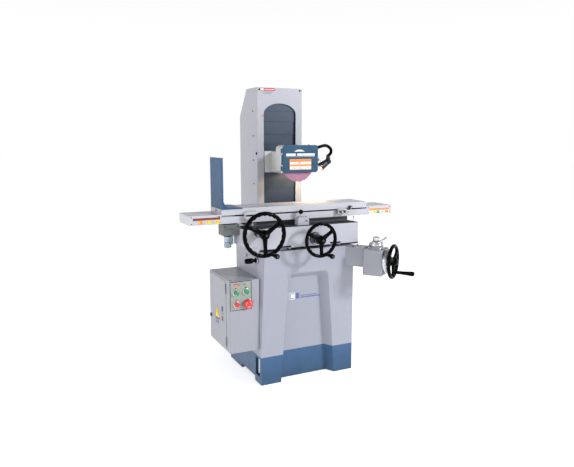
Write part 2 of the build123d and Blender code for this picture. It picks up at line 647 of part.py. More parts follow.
def guard_parts():
    """Wheel guard, its hinged front door, and the knob that clamps the door shut."""
    middle = ((GUARD_X[0] + GUARD_X[1]) / 2, (GUARD_Z[0] + GUARD_Z[1]) / 2)
    width = GUARD_X[1] - GUARD_X[0]
    height = GUARD_Z[1] - GUARD_Z[0]
    hinge = along_z(*HINGE)
    with BuildPart() as guard:
        with BuildSketch(front_frame((0, GUARD_Y[1], 0))) as outer:
            with Locations(middle):
                Rectangle(width, height)
            fillet(outer.vertices().group_by(Axis.Z)[-1], 24)
        extrude(amount=GUARD_Y[1] - GUARD_Y[0])
        with BuildSketch(front_frame((0, GUARD_Y[1] - 6, 0))) as inner:
            with Locations((middle[0], middle[1] - 5)):
                Rectangle(width - 10, height)
            fillet(inner.vertices().group_by(Axis.Z)[-1], 19)
        extrude(amount=80, mode=Mode.SUBTRACT)
        disc(along_y(0, SPINDLE_Z), 24, -20, 0, Mode.SUBTRACT)
        for z in (1225, 1325):
            for low, high in ((z - 20, z - 13.5), (z + 13.5, z + 20)):
                disc(hinge, 5, low, high)
                block((GUARD_X[0], GUARD_X[0] + 7), (HINGE[1], GUARD_Y[0] + 1), (low, high))
            disc(hinge, 2.5, z - 20, z + 20)
        disc(along_x(-62, 1270), 4 + SHAFT_GAP, 110, 124, Mode.SUBTRACT)
        disc(along_x(-25, 1337), 16, GUARD_X[1] - 1, GUARD_X[1] + 7)
    save("wheel_guard", guard.part)
    with BuildPart() as door:
        with BuildSketch(front_frame((0, GUARD_Y[0] - 1, 0))) as panel:
            with Locations(((DOOR_X[0] + DOOR_X[1]) / 2, middle[1])):
                Rectangle(DOOR_X[1] - DOOR_X[0], height)
            fillet(panel.vertices().group_by(Axis.Z)[-1], 18)
        extrude(amount=4)
        fillet(door.edges().group_by(Axis.Y)[0], 1.5)
        for z in (1225, 1325):
            disc(hinge, 5, z - 13, z + 13)
            block((HINGE[0], DOOR_X[0] + 4), (-77.5, -74.5), (z - 13, z + 13))
            disc(hinge, 2.5 + SHAFT_GAP, z - 14, z + 14, Mode.SUBTRACT)
    save("guard_door", door.part)
    with BuildPart() as knob:
        disc(along_x(-62, 1270), 4, 112, 132)
        disc(along_x(-62, 1270), 7, 124, 134)
        disc(along_x(-62, 1270), 11, 134, 160)
        fillet(knob.edges().filter_by(GeomType.CIRCLE).group_by(Axis.X)[-1], 3)
    save("door_clamp_knob", knob.part)


LAMP_Y = -25
LAMP_PIVOT = (220, 1290)


def lamp():
    """Work lamp: bent conduit arm and a swivelling shade."""
    points = [(130, 1337), (160, 1344), (202, 1354), (238, 1334), (238, 1306), (LAMP_PIVOT[0], 1293)]
    pivot = along_y(*LAMP_PIVOT)
    with BuildPart() as arm:
        with BuildLine() as path:
            Spline(
                *[(x, LAMP_Y, z) for x, z in points],
                tangents=((1, 0, 0), (-0.9, 0, -0.45)),
            )
        start = Plane(origin=path.line @ 0, z_dir=path.line % 0)
        with BuildSketch(start):
            Circle(10)
        sweep()
        with Locations((LAMP_PIVOT[0], LAMP_Y, LAMP_PIVOT[1])):
            Sphere(7)
        lug = (LAMP_Y - 4.2, LAMP_Y + 4.2)
        block((LAMP_PIVOT[0] - 20, LAMP_PIVOT[0] + 9), lug, (1270, 1297), Mode.SUBTRACT)
        disc(pivot, 2.5, LAMP_Y - 6, LAMP_Y + 6)
    save("lamp_arm", arm.part)
    axis = (-0.85, 0, -0.53)
    shade = Plane(origin=(225, LAMP_Y, 1263), x_dir=(0, 1, 0), z_dir=axis)
    with BuildPart() as head:
        cone(shade, 16, 19, -8, 14)
        cone(shade, 19, 25, 14, 66)
        fillet(head.edges().filter_by(GeomType.CIRCLE).sort_by(SortBy.RADIUS)[:1], 5)
        cone(shade, 14, 22.5, 22, 67, Mode.SUBTRACT)
        disc(shade, 7, -16, -6)
        block((LAMP_PIVOT[0] - 5, LAMP_PIVOT[0] + 5), (LAMP_Y - 4, LAMP_Y + 4), (1270, LAMP_PIVOT[1]))
        disc(pivot, 5, LAMP_Y - 4, LAMP_Y + 4)
        disc(pivot, 2.5 + SHAFT_GAP, LAMP_Y - 7, LAMP_Y + 7, Mode.SUBTRACT)
    save("lamp_head", head.part)


# ---------------------------------------------------------------- electrical cabinet
def cabinet():
    """Sheet cabinet on the base's left side, its door and latch, and what it holds."""
    x, y, z = CABINET_X, CABINET_Y, CABINET_Z
    door_z = (z[0] + 8, z[1] - 8)
    with BuildPart() as shell:
        block(x, y, z)
        fillet(shell.edges().filter_by(Axis.Z).group_by(Axis.X)[0], 4)
        block((x[0] + 2, x[1] - 2), (y[0] + 2, y[1] - 2), (z[0] + 2, z[1] - 2), Mode.SUBTRACT)
        block((x[0] - 1, x[0] + 3), DOOR_Y, door_z, Mode.SUBTRACT)
        disc(along_z(-420, 60), 12, z[0] - 1, z[0] + 3, Mode.SUBTRACT)
        for bx, bz in list(BUTTONS.values()) + [EMERGENCY]:
            disc(along_y(bx, bz), 11.3, y[0] - 1, y[0] + 3, Mode.SUBTRACT)
    save("cabinet_shell", shell.part)
    with BuildPart() as door:
        block((x[0] - 1.5, x[0] + 0.5), (DOOR_Y[0] + 0.5, DOOR_Y[1] - 1), (door_z[0] + 1, door_z[1] - 1))
        disc(along_z(x[0] - 4, DOOR_Y[0] + 1), 4, door_z[0] + 20, door_z[0] + 70)
        disc(along_z(x[0] - 4, DOOR_Y[0] + 1), 4, door_z[1] - 70, door_z[1] - 20)
        disc(along_x(140, 353), 8 + SHAFT_GAP, x[0] - 2, x[0] + 1, Mode.SUBTRACT)
    save("cabinet_door", door.part)
    with BuildPart() as latch:
        disc(along_x(140, 353), 8, x[0] - 5, x[0] + 4)
        disc(along_x(140, 353), 11, x[0] - 8, x[0] - 4)
        block((x[0] + 4, x[0] + 6), (134, 146), (330, 359))
    save("cabinet_latch", latch.part)
    with BuildPart() as gear:
        block((-312, -303), (-110, 130), (260, 590))
        for low in (-95, -30, 35):
            block((-372, -312), (low, low + 55), (470, 550))
        block((-352, -312), (-95, 100), (320, 370))
        disc(along_z(-420, 60), 11.9, 196, 218)
        disc(along_z(-420, 60), 17, 198, 211.9)
        disc(along_z(-420, 60), 17, 214.1, 220)
        disc(along_z(-420, 60), 7, 190, 230, Mode.SUBTRACT)
    save("switchgear", gear.part)


def controls():
    """Control panel with its bezels, the push buttons and the emergency stop."""
    face = CABINET_Y[0]
    with BuildPart() as panel:
        block((-475, -348), (face - 2, face), (458, 621))
        for x, z in BUTTONS.values():
            disc(along_y(x, z), BUTTON_R + 3, face - 6, face - 1)
        disc(along_y(EMERGENCY[0], EMERGENCY[1]), 19, face - 6, face - 1)
        disc(along_y(-412, 604), 6, face - 7, face - 1)
        for x, z in BUTTONS.values():
            disc(along_y(x, z), BUTTON_R - 3.9, face - 8, face + 1, Mode.SUBTRACT)
        disc(along_y(EMERGENCY[0], EMERGENCY[1]), 11.1, face - 8, face + 1, Mode.SUBTRACT)
    save("control_panel", panel.part)
    for name, (x, z) in BUTTONS.items():
        with BuildPart() as button:
            disc(along_y(x, z), BUTTON_R, face - 17, face - 11)
            fillet(button.edges().filter_by(GeomType.CIRCLE).group_by(Axis.Y)[0], 1.5)
            disc(along_y(x, z), BUTTON_R - 4, face - 12, face + 14)
        save(name, button.part)
    x, z = EMERGENCY
    with BuildPart() as stop:
        disc(along_y(x, z), 28, face - 28, face - 17)
        fillet(stop.edges().filter_by(GeomType.CIRCLE).group_by(Axis.Y)[0], 6)
        disc(along_y(x, z), 15, face - 18, face - 13)
        disc(along_y(x, z), 11, face - 14, face + 16)
    save("emergency_stop", stop.part)


# ---------------------------------------------------------------- lubrication
def oiler():
    """Hand oil pump in the base's left side, with its sight glass and pull grip."""
    line = along_x(-145, 721)
    with BuildPart() as pump:
        disc(line, 19, -306, -300)
        disc(line, 12, -300, -240)
        disc(line, 4 + SHAFT_GAP, -307, -248, Mode.SUBTRACT)
        disc(along_x(5, 726), 9, -308, -300)
        disc(along_x(5, 726), 6, -310, -308)
    save("oiler_pump", pump.part)
    with BuildPart() as grip:
        disc(line, 4, -330, -290)
        disc(line, 15, -372, -322)
        disc(line, 10, -322, -308)
        fillet(grip.edges().filter_by(GeomType.CIRCLE).group_by(Axis.X)[0], 4)
    save("oiler_grip", grip.part)


base_casting()
cross_feed_nut()
column_casting()
column_cover()
column_screws()
way_covers()
saddle_casting()
saddle_trim()
table_casting()
table_end_covers()
splash_guard()
stops()
table_drive()
cross_feed()
elevating_bracket()
elevating_train()
wheel_head()
spindle_parts()
guard_parts()
lamp()
cabinet()
controls()
oiler()
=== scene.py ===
"""Looks of the surface grinder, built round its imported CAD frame."""

import math

import bmesh
import bpy
from mathutils import Matrix, Vector


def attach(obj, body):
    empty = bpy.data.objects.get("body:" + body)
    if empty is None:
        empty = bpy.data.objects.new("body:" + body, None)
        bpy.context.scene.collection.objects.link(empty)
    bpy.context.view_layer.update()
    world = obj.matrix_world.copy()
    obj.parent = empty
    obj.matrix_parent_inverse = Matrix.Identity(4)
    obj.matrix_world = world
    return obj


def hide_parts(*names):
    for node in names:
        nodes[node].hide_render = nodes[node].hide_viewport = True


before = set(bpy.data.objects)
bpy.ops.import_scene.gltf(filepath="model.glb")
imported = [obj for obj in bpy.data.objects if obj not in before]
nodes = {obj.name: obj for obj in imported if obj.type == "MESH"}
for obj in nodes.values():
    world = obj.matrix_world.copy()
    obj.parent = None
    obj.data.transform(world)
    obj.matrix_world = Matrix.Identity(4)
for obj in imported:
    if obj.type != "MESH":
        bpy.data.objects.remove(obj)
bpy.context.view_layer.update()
UP = Vector((0, 0, 1))


def mm(*values):
    return Vector([v / 1000 for v in values])


def pairs(*values):
    """Points in metres from a flat run of millimetres, such as radius, height, radius, height."""
    return [(a / 1000, b / 1000) for a, b in zip(values[::2], values[1::2])]


# ------------ materials
class Nodes:
    """Short calls for building one material's nodes."""

    def __init__(self, name):
        self.mat = bpy.data.materials.new(name)
        self.mat.use_nodes = True
        self.tree = self.mat.node_tree
        self.shader = self.tree.nodes["Principled BSDF"]
        self.coords = self.add("ShaderNodeTexCoord").outputs["Object"]

    def add(self, kind, **settings):
        node = self.tree.nodes.new(kind)
        for key, value in settings.items():
            setattr(node, key, value)
        return node

    def link(self, source, target):
        self.tree.links.new(source, target)

    def fill(self, socket, value):
        if isinstance(value, bpy.types.NodeSocket):
            self.link(value, socket)
        elif isinstance(value, (tuple, list)) and len(value) == 3 and socket.type == "RGBA":
            socket.default_value = (*value, 1)
        else:
            socket.default_value = value

    def noise(self, scale, detail=4, rough=0.55, stretch=None):
        node = self.add("ShaderNodeTexNoise")
        node.inputs["Scale"].default_value = scale
        node.inputs["Detail"].default_value = detail
        node.inputs["Roughness"].default_value = rough
        source = self.coords
        if stretch:
            mapping = self.add("ShaderNodeMapping")
            mapping.inputs["Scale"].default_value = stretch
            self.link(source, mapping.inputs["Vector"])
            source = mapping.outputs["Vector"]
        self.link(source, node.inputs["Vector"])
        return node.outputs["Fac"]

    def remap(self, value, low, high, to_low, to_high):
        node = self.add("ShaderNodeMapRange")
        for key, v in zip((0, 1, 2, 3, 4), (value, low, high, to_low, to_high)):
            self.fill(node.inputs[key], v)
        return node.outputs[0]

    def mix(self, factor, a, b, mode="MIX"):
        node = self.add("ShaderNodeMix", data_type="RGBA", blend_type=mode)
        for key, v in zip((0, 6, 7), (factor, a, b)):
            self.fill(node.inputs[key], v)
        return node.outputs[2]

    def math(self, operation, a, b=0.0, c=0.0):
        node = self.add("ShaderNodeMath", operation=operation)
        for key, v in zip((0, 1, 2), (a, b, c)):
            self.fill(node.inputs[key], v)
        return node.outputs[0]

    def axis(self, letter):
        if not hasattr(self, "split"):
            self.split = self.add("ShaderNodeSeparateXYZ")
            self.link(self.coords, self.split.inputs[0])
        return self.split.outputs[letter]

    def normal(self, height, strength, distance, edge=0.0):
        bump = self.add("ShaderNodeBump")
        bump.inputs["Strength"].default_value = strength
        bump.inputs["Distance"].default_value = distance
        self.link(height, bump.inputs["Height"])
        if edge:
            bevel = self.add("ShaderNodeBevel", samples=4)
            bevel.inputs["Radius"].default_value = edge
            self.link(bevel.outputs[0], bump.inputs["Normal"])
        self.link(bump.outputs[0], self.shader.inputs["Normal"])

    def done(self, color, rough, **sockets):
        self.fill(self.shader.inputs["Base Color"], color)
        self.fill(self.shader.inputs["Roughness"], rough)
        for key, value in sockets.items():
            self.fill(self.shader.inputs[key.replace("_", " ")], value)
        return self.mat


def scaled(color, factor):
    return tuple(min(1, c * factor) for c in color)


def enamel(name, color, rough=0.36, vary=0.05, orange_peel=0.12, coat=0.08, edge=0.0012, grime=0.0,
        zone=None, gloss=0.32):
    """Sprayed enamel: soft cloudiness, orange peel, dust and rubbed patches."""
    n = Nodes(name)
    cloud = n.noise(2.6, 5)
    fine = n.noise(34, 4)
    body = n.mix(n.remap(cloud, 0.3, 0.7, 0, 1), scaled(color, 1 - vary), scaled(color, 1 + vary))
    body = n.mix(n.remap(fine, 0.35, 0.7, 0, 0.16), body, scaled(color, 1 - 3.2 * vary))
    if zone:
        body = zone(n, body)
    if grime:
        streak = n.noise(9, 6, 0.7, (6, 6, 0.7))
        body = n.mix(n.remap(streak, 0.56, 0.8, 0, grime), body, (0.1, 0.1, 0.09))
    n.normal(n.noise(420, 2), orange_peel, 0.0006, edge)
    n.shader.inputs["Specular IOR Level"].default_value = gloss
    return n.done(body, n.remap(fine, 0.3, 0.75, rough - 0.05, rough + 0.1), Coat_Weight=coat,
        Coat_Roughness=0.12)


def metal(name, color, rough=0.28, stretch=(1, 1, 1), grain=260, edge=0.0006, depth=0.25, stain=0.12):
    """Turned, ground or brushed metal: fine directional grain and faint stains."""
    n = Nodes(name)
    grain_map = n.noise(grain, 3, 0.6, stretch)
    stains = n.noise(14, 5)
    body = n.mix(n.remap(grain_map, 0.3, 0.7, 0, 1), scaled(color, 0.86), scaled(color, 1.1))
    body = n.mix(n.remap(stains, 0.5, 0.78, 0, stain), body, scaled(color, 0.45))
    n.normal(grain_map, depth, 0.0004, edge)
    return n.done(body, n.remap(grain_map, 0.25, 0.75, rough - 0.07, rough + 0.12), Metallic=1.0)


def plastic(name, color, rough=0.25, coat=0.05, edge=0.0006, peel=0.06, spots=0.0, gloss=0.35):
    """Moulded plastic or bakelite with finger marks."""
    n = Nodes(name)
    marks = n.noise(22, 5)
    body = n.mix(n.remap(marks, 0.35, 0.7, 0, 1), scaled(color, 0.9), scaled(color, 1.12))
    if spots:
        body = n.mix(n.remap(n.noise(300, 1), 0.62, 0.7, 0, spots), body, scaled(color, 2.2))
    n.normal(n.noise(300, 2), peel, 0.0005, edge)
    n.shader.inputs["Specular IOR Level"].default_value = gloss
    return n.done(body, n.remap(marks, 0.3, 0.7, rough - 0.05, rough + 0.12), Coat_Weight=coat,
        Coat_Roughness=0.1)


GREY = (0.308, 0.322, 0.38)
BLUE = (0.034, 0.091, 0.196)


def blue_foot(n, body):
    """The base's foot is blue up to the plinth line, and darker towards the floor."""
    z = n.axis("Z")
    low = n.mix(n.remap(z, 0.0, 0.15, 0, 1), (0.021, 0.062, 0.122), BLUE)
    low = n.mix(n.remap(n.noise(12, 5), 0.4, 0.75, 0, 0.35), low, scaled(BLUE, 1.35))
    return n.mix(n.math("GREATER_THAN", z, 0.1652), low, body)


def painted_shade_under_table(n, body):
    """Painted shade: the saddle's top face and ways behind the table's front edge are painted near-black for
    the shadow under the table.
    """
    above = n.math("GREATER_THAN", n.axis("Z"), 0.9086)
    behind = n.math("GREATER_THAN", n.axis("Y"), -0.1545)
    dark = n.mix(n.noise(14, 4), (0.05, 0.056, 0.066), (0.075, 0.083, 0.098))
    return n.mix(n.math("MULTIPLY", above, behind), body, dark)


M = {}
M["base"] = enamel("base_enamel", GREY, zone=blue_foot, grime=0.1, vary=0.03)
M["grey"] = enamel("grey_enamel", (0.3, 0.311, 0.354), vary=0.03, grime=0.06)
# Painted light: the saddle's enamel is the machine paint made lighter for the light falling on it, with
# painted shade under the table.
M["saddle"] = enamel("saddle_enamel_painted_light_and_shade", (0.415, 0.425, 0.48), zone=painted_shade_under_table, vary=0.03, grime=0.06)
M["light"] = enamel("column_enamel", (0.37, 0.378, 0.425), vary=0.025, grime=0.05)
# Painted light: the table's enamel is the machine paint made lighter for the light falling on it.
M["table"] = enamel("table_enamel_painted_light", (0.475, 0.482, 0.53), vary=0.03, grime=0.08)
M["cream"] = enamel("head_enamel", (0.5, 0.508, 0.505), vary=0.03, grime=0.05)
M["blue"] = enamel("blue_enamel", (0.011, 0.06, 0.116), rough=0.3, coat=0.2, vary=0.06)
M["splash"] = enamel("splash_enamel", (0.021, 0.074, 0.166), rough=0.45, coat=0.05, vary=0.05)
M["black"] = plastic("black_enamel", (0.0015, 0.0015, 0.002), rough=0.13, coat=0.0, spots=0.5, gloss=0.04)
M["bakelite"] = plastic("black_bakelite", (0.002, 0.002, 0.0026), rough=0.16, coat=0.0, gloss=0.05)
M["dark"] = plastic("dark_satin", (0.01, 0.014, 0.022), rough=0.36, gloss=0.3)
M["steel"] = metal("turned_steel", (0.46, 0.47, 0.5), rough=0.26)
M["chrome"] = metal("satin_chrome", (0.66, 0.67, 0.71), rough=0.16, depth=0.1)
M["screw"] = metal("black_screw", (0.07, 0.07, 0.075), rough=0.35)
M["bronze"] = metal("cast_bronze", (0.5, 0.32, 0.14), rough=0.4, grain=60)
M["ground"] = metal("ground_iron", (0.5, 0.51, 0.54), rough=0.3, stretch=(0.05, 4, 1), grain=190,
    stain=0.2)
M["alloy"] = enamel("cast_alloy", (0.13, 0.142, 0.14), rough=0.5, orange_peel=0.5, vary=0.06, grime=0.2)
M["marking"] = plastic("mark_white", (0.7, 0.72, 0.76), rough=0.4, coat=0.1)
M["ink"] = plastic("mark_dark", (0.03, 0.035, 0.05), rough=0.5, coat=0)
M["ink_blue"] = plastic("mark_blue", (0.1, 0.12, 0.3), rough=0.5, coat=0)
M["red"] = plastic("mark_red", (0.5, 0.03, 0.02), rough=0.4, coat=0.2)
M["dark_red"] = plastic("mark_dark_red", (0.2, 0.02, 0.025), rough=0.4, coat=0.2)
M["orange"] = plastic("mark_orange", (0.8, 0.25, 0.03), rough=0.4, coat=0.2)
M["yellow"] = plastic("mark_yellow", (0.85, 0.58, 0.03), rough=0.4, coat=0.2)
M["foil"] = metal("label_foil", (0.5, 0.52, 0.54), rough=0.35, depth=0.05)
M["green_mark"] = plastic("mark_green", (0.1, 0.32, 0.1), rough=0.4, coat=0.2)
M["green"] = plastic("green_cap", (0.01, 0.23, 0.085), rough=0.22, coat=0.6)
M["red_cap"] = plastic("red_cap", (0.56, 0.02, 0.022), rough=0.24, coat=0.6)
M["panel"] = enamel("panel_beige", (0.285, 0.31, 0.275), rough=0.4, coat=0.1, vary=0.03)
M["gear"] = plastic("switchgear", (0.16, 0.16, 0.18), rough=0.45, coat=0.05)


def slate(name, color):
    """Rolled sheet with long faint scratches across the plate."""
    n = Nodes(name)
    lines = n.noise(70, 3, 0.6, (0.3, 1, 6))
    oil = n.noise(5, 5, 0.6, (1, 1, 2.2))
    body = n.mix(n.remap(lines, 0.3, 0.7, 0, 1), scaled(color, 0.85), scaled(color, 1.15))
    body = n.mix(n.remap(oil, 0.42, 0.72, 0, 0.5), body, scaled(color, 0.62))
    n.normal(lines, 0.12, 0.0005, 0.0005)
    return n.done(body, n.remap(oil, 0.3, 0.7, 0.3, 0.5), Metallic=0.25)


M["slate"] = slate("way_cover_slate", (0.023, 0.039, 0.068))


def rubber_mat():
    """Ribbed black mat, dulled by dust."""
    n = Nodes("rubber_mat")
    ribs = n.add("ShaderNodeTexWave", bands_direction="X")
    ribs.inputs["Scale"].default_value = 40
    n.link(n.coords, ribs.inputs["Vector"])
    dust = n.noise(16, 6, 0.65)
    body = n.mix(n.remap(dust, 0.4, 0.8, 0, 1), (0.022, 0.024, 0.029), (0.062, 0.068, 0.078))
    n.normal(ribs.outputs["Fac"], 0.35, 0.001)
    n.shader.inputs["Specular IOR Level"].default_value = 0.15
    return n.done(body, n.remap(dust, 0.3, 0.7, 0.5, 0.75))


M["mat"] = rubber_mat()


def abrasive():
    """Vitrified pink grit with pale and dark grains."""
    n = Nodes("pink_abrasive")
    grit = n.add("ShaderNodeTexVoronoi")
    grit.inputs["Scale"].default_value = 520
    n.link(n.coords, grit.inputs["Vector"])
    pale = n.noise(420, 2)
    body = n.mix(n.remap(n.noise(40, 4), 0.3, 0.7, 0, 1), (0.32, 0.13, 0.2), (0.38, 0.185, 0.27))
    body = n.mix(n.remap(pale, 0.56, 0.66, 0, 0.6), body, (0.56, 0.38, 0.46))
    body = n.mix(n.remap(grit.outputs["Distance"], 0.0, 0.25, 0.45, 0), body, (0.25, 0.095, 0.14))
    n.normal(grit.outputs["Distance"], 0.6, 0.0012)
    return n.done(body, 0.88)


M["wheel"] = abrasive()


def clear(name, color, rough=0.06):
    n = Nodes(name)
    smear = n.noise(60, 3)
    n.normal(n.noise(90, 2), 0.08, 0.001)
    body = n.mix(n.remap(smear, 0.35, 0.7, 0, 1), scaled(color, 0.9), color)
    n.shader.inputs["IOR"].default_value = 1.46
    return n.done(body, n.remap(smear, 0.3, 0.7, rough, rough + 0.1), Transmission_Weight=0.85)


M["glass"] = clear("clear_bowl", (0.8, 0.9, 0.97))
M["oil"] = clear("lubricating_oil", (0.45, 0.55, 0.62), 0.1)


def glowing(name, color, strength):
    n = Nodes(name)
    n.normal(n.noise(200, 1), 0.05, 0.0005)
    tint = n.mix(n.remap(n.noise(60, 2), 0.3, 0.7, 0, 1), scaled(color, 0.8), color)
    n.shader.inputs["Emission Strength"].default_value = strength
    n.link(tint, n.shader.inputs["Emission Color"])
    return n.done(tint, 0.3)


M["bulb"] = glowing("warm_bulb", (1.0, 0.62, 0.22), 3.0)

CAD_LOOKS = {
    "base": ["base_casting"],
    "saddle": ["saddle_casting", "stop_block"],
    "grey": ["cabinet_shell", "cabinet_door", "elevating_bracket", "column_casting"],
    "light": ["column_cover"],
    "table": ["table_casting", "table_end_covers", "stop_dog_left"],
    "cream": ["head_casting", "wheel_guard"],
    "blue": ["guard_door"],
    "splash": ["splash_guard"],
    "slate": ["fixed_way_covers", "head_way_covers", "way_cover_upper_1", "way_cover_upper_2",
              "way_cover_upper_3", "way_cover_lower_1", "way_cover_lower_2"],
    "mat": ["saddle_top_mat"],
    "steel": ["table_handwheel_shaft", "table_pinion", "cross_feed_screw", "elevating_screw", "table_rack",
              "spindle_bearings", "spindle", "oiler_pump", "stop_dog_right"],
    "screw": ["column_screws"],
    "chrome": ["elevating_shaft", "fine_feed_knob"],
    "bronze": ["cross_feed_nut"],
    "wheel": ["grinding_wheel"],
    "alloy": ["lubricator_bracket", "spindle_motor"],
    "glass": ["lubricator_bowls"],
    "black": ["table_handwheel", "cross_handwheel", "elevating_handwheel", "stop_rod", "lamp_arm"],
    "bakelite": ["table_grip", "cross_grip", "elevating_grip", "stop_plunger", "elevating_clamp_lever",
                 "oiler_grip", "cabinet_latch"],
    "dark": ["lamp_head"],
    "panel": ["control_panel"],
    "green": ["start_button", "table_button"],
    "red_cap": ["stop_button", "emergency_stop"],
    "gear": ["switchgear"],
}
for look, names in CAD_LOOKS.items():
    for name in names:
        for slot in nodes[name].material_slots:
            slot.material = M[look]
for slot in nodes["door_clamp_knob"].material_slots:
    slot.material = M["chrome"]


# ------------ mesh helpers
class Piece:
    """Collects shells, then becomes one object that rides on a body."""

    def __init__(self, name, body, slot, *looks):
        self.name, self.body, self.slot, self.looks = name, body, slot, looks
        self.bm = bmesh.new()

    def _finish(self, faces, look, smooth):
        for face in faces:
            face.material_index = look
            face.smooth = smooth

    def lathe(self, where, profile, look=0, segments=48, smooth=True, start=0.0):
        """Turns (radius, height) points round the frame's local z axis."""
        rings = []
        for r, h in profile:
            if r < 1e-6:
                rings.append([self.bm.verts.new(where @ Vector((0, 0, h)))])
            else:
                rings.append([self.bm.verts.new(where @ Vector((r * math.cos(a), r * math.sin(a),
                    h))) for a in (start + 2 * math.pi * k / segments for k in range(segments))])
        faces = []
        for low, high in zip(rings, rings[1:]):
            for k in range(segments):
                j = (k + 1) % segments
                if len(low) == 1:
                    faces.append(self.bm.faces.new((low[0], high[j], high[k])))
                elif len(high) == 1:
                    faces.append(self.bm.faces.new((low[k], low[j], high[0])))
                else:
                    faces.append(self.bm.faces.new((low[k], low[j], high[j], high[k])))
        self._finish(faces, look, smooth)

    def tube(self, points, radii, look=0, sides=16, flat=1.0, normal=UP, smooth=True):
        """A closed tube through points, with one radius for each."""
        rings = []
        for k, p in enumerate(points):
            along = (points[min(k + 1, len(points) - 1)] - points[max(k - 1, 0)]).normalized()
            across = along.cross(normal).normalized()
            other = across.cross(along).normalized()
            r = radii[k] if hasattr(radii, "__len__") else radii
            rings.append([self.bm.verts.new(p + across * (r * math.cos(a)) + other * (r * flat * math.sin(a)))
                          for a in (2 * math.pi * j / sides for j in range(sides))])
        faces = []
        for low, high in zip(rings, rings[1:]):
            for k in range(sides):
                j = (k + 1) % sides
                faces.append(self.bm.faces.new((low[k], low[j], high[j], high[k])))
        faces.append(self.bm.faces.new(reversed(rings[0])))
        faces.append(self.bm.faces.new(rings[-1]))
        self._finish(faces, look, smooth)

    def slab(self, where, x, y, z, look=0, bevel=0.0):
        """A box between local bounds, with its edges taken off."""
        made = bmesh.ops.create_cube(self.bm, size=1)["verts"]
        for v in made:
            v.co = where @ Vector([lo + (hi - lo) * (c + 0.5) for (lo, hi), c in zip((x, y, z), v.co)])
        faces = list({f for v in made for f in v.link_faces})
        self._finish(faces, look, False)
        if bevel:
            edges = list({e for v in made for e in v.link_edges})
            done = bmesh.ops.bevel(self.bm, geom=edges, offset=bevel, segments=2, affect="EDGES",
                profile=0.5)
            self._finish(done["faces"], look, False)

    def polygon(self, where, points, low, high, look=0):
        """A flat plate of any convex outline."""
        bottom = [self.bm.verts.new(where @ Vector((x, y, low))) for x, y in points]
        top = [self.bm.verts.new(where @ Vector((x, y, high))) for x, y in points]
        faces = [self.bm.faces.new(reversed(bottom)), self.bm.faces.new(top)]
        for k in range(len(points)):
            j = (k + 1) % len(points)
            faces.append(self.bm.faces.new((bottom[k], bottom[j], top[j], top[k])))
        self._finish(faces, look, False)

    def build(self, *replaced):
        bmesh.ops.recalc_face_normals(self.bm, faces=self.bm.faces)
        data = bpy.data.meshes.new(self.name)
        self.bm.to_mesh(data)
        self.bm.free()
        for look in self.looks:
            data.materials.append(M[look])
        piece = bpy.data.objects.new(self.name, data)
        bpy.context.scene.collection.objects.link(piece)
        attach(piece, self.body)
        if replaced:
            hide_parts(*replaced)
        return piece


def facing(origin, z_axis, x_axis=None):
    """A frame in metres with its local z along z_axis."""
    z_axis = Vector(z_axis).normalized()
    x_axis = Vector(x_axis) if x_axis else z_axis.orthogonal()
    x_axis = (x_axis - z_axis * x_axis.dot(z_axis)).normalized()
    y_axis = z_axis.cross(x_axis)
    turned = Matrix((x_axis, y_axis, z_axis)).transposed().to_4x4()
    return Matrix.Translation(Vector(origin)) @ turned


def spun(where, k, count):
    """The frame where, turned by k parts of count about its own z."""
    return where @ Matrix.Rotation(2 * math.pi * k / count, 4, "Z")


def spun_deg(where, degrees, out=0, up=0):
    """The frame where, turned about its own z, then moved out and up."""
    return where @ Matrix.Rotation(math.radians(degrees), 4, "Z") @ Matrix.Translation((out, 0, up))


def front(x, y, z):
    """Frame on a face that looks to the operator: local x right, local y up."""
    return facing(mm(x, y, z), (0, -1, 0), (1, 0, 0))


def left_side(x, y, z):
    """Frame on a face that looks left: local x towards the operator, local y up."""
    return facing(mm(x, y, z), (-1, 0, 0), (0, -1, 0))


def cap_screw(piece, where, r=0.005, h=0.004, look=0, dark=1):
    """Socket cap screw: rounded head and a hexagonal recess."""
    piece.lathe(where, [(0, 0), (r, 0), (r, h * 0.75), (r * 0.9, h), (r * 0.52, h)], look, 20)
    piece.lathe(where, [(r * 0.52, h), (r * 0.5, h * 0.4), (0, h * 0.4)], dark, 6, False)


def button_head(piece, where, r, h, look=0):
    """Domed head with a flat foot."""
    steps = [(r * math.cos(a), h * math.sin(a)) for a in (math.pi * k / 12 for k in range(6))]
    piece.lathe(where, [(0, 0), *steps, (0, h)], look, 20)


def curve_through(points, count):
    """Evenly sampled smooth path (Catmull-Rom) through the points."""
    padded = [points[0] * 2 - points[1], *points, points[-1] * 2 - points[-2]]
    path = []
    for k in range(count):
        s = k / (count - 1) * (len(points) - 1)
        i = min(int(s), len(points) - 2)
        t = s - i
        a, b, c, d = padded[i:i + 4]
        path.append(0.5 * ((2 * b) + (c - a) * t + (2 * a - 5 * b + 4 * c - d) * t * t
                           + (3 * b - a - 3 * c + d) * t ** 3))
    return path


# ------------ handwheels
TABLE_X, TABLE_Z = -325, 892
CROSS_X, CROSS_Z = 15, 839
WHEEL_Y = -315
LIFT = math.radians(52)
OUT = Vector((math.cos(LIFT), -math.sin(LIFT), 0))
SIDE = Vector((math.sin(LIFT), math.cos(LIFT), 0))
CORNER = (300, -200)
CROSS_LINE = front(CROSS_X, 0, CROSS_Z)
FEED_LINE = facing(mm(*CORNER, 0) + OUT * 0.139, UP, OUT)


def lift(s, z=692.0):
    """Frame on the elevating shaft's axis, s mm from the base's corner."""
    return facing(mm(*CORNER, z) + OUT * (s / 1000), OUT, SIDE)


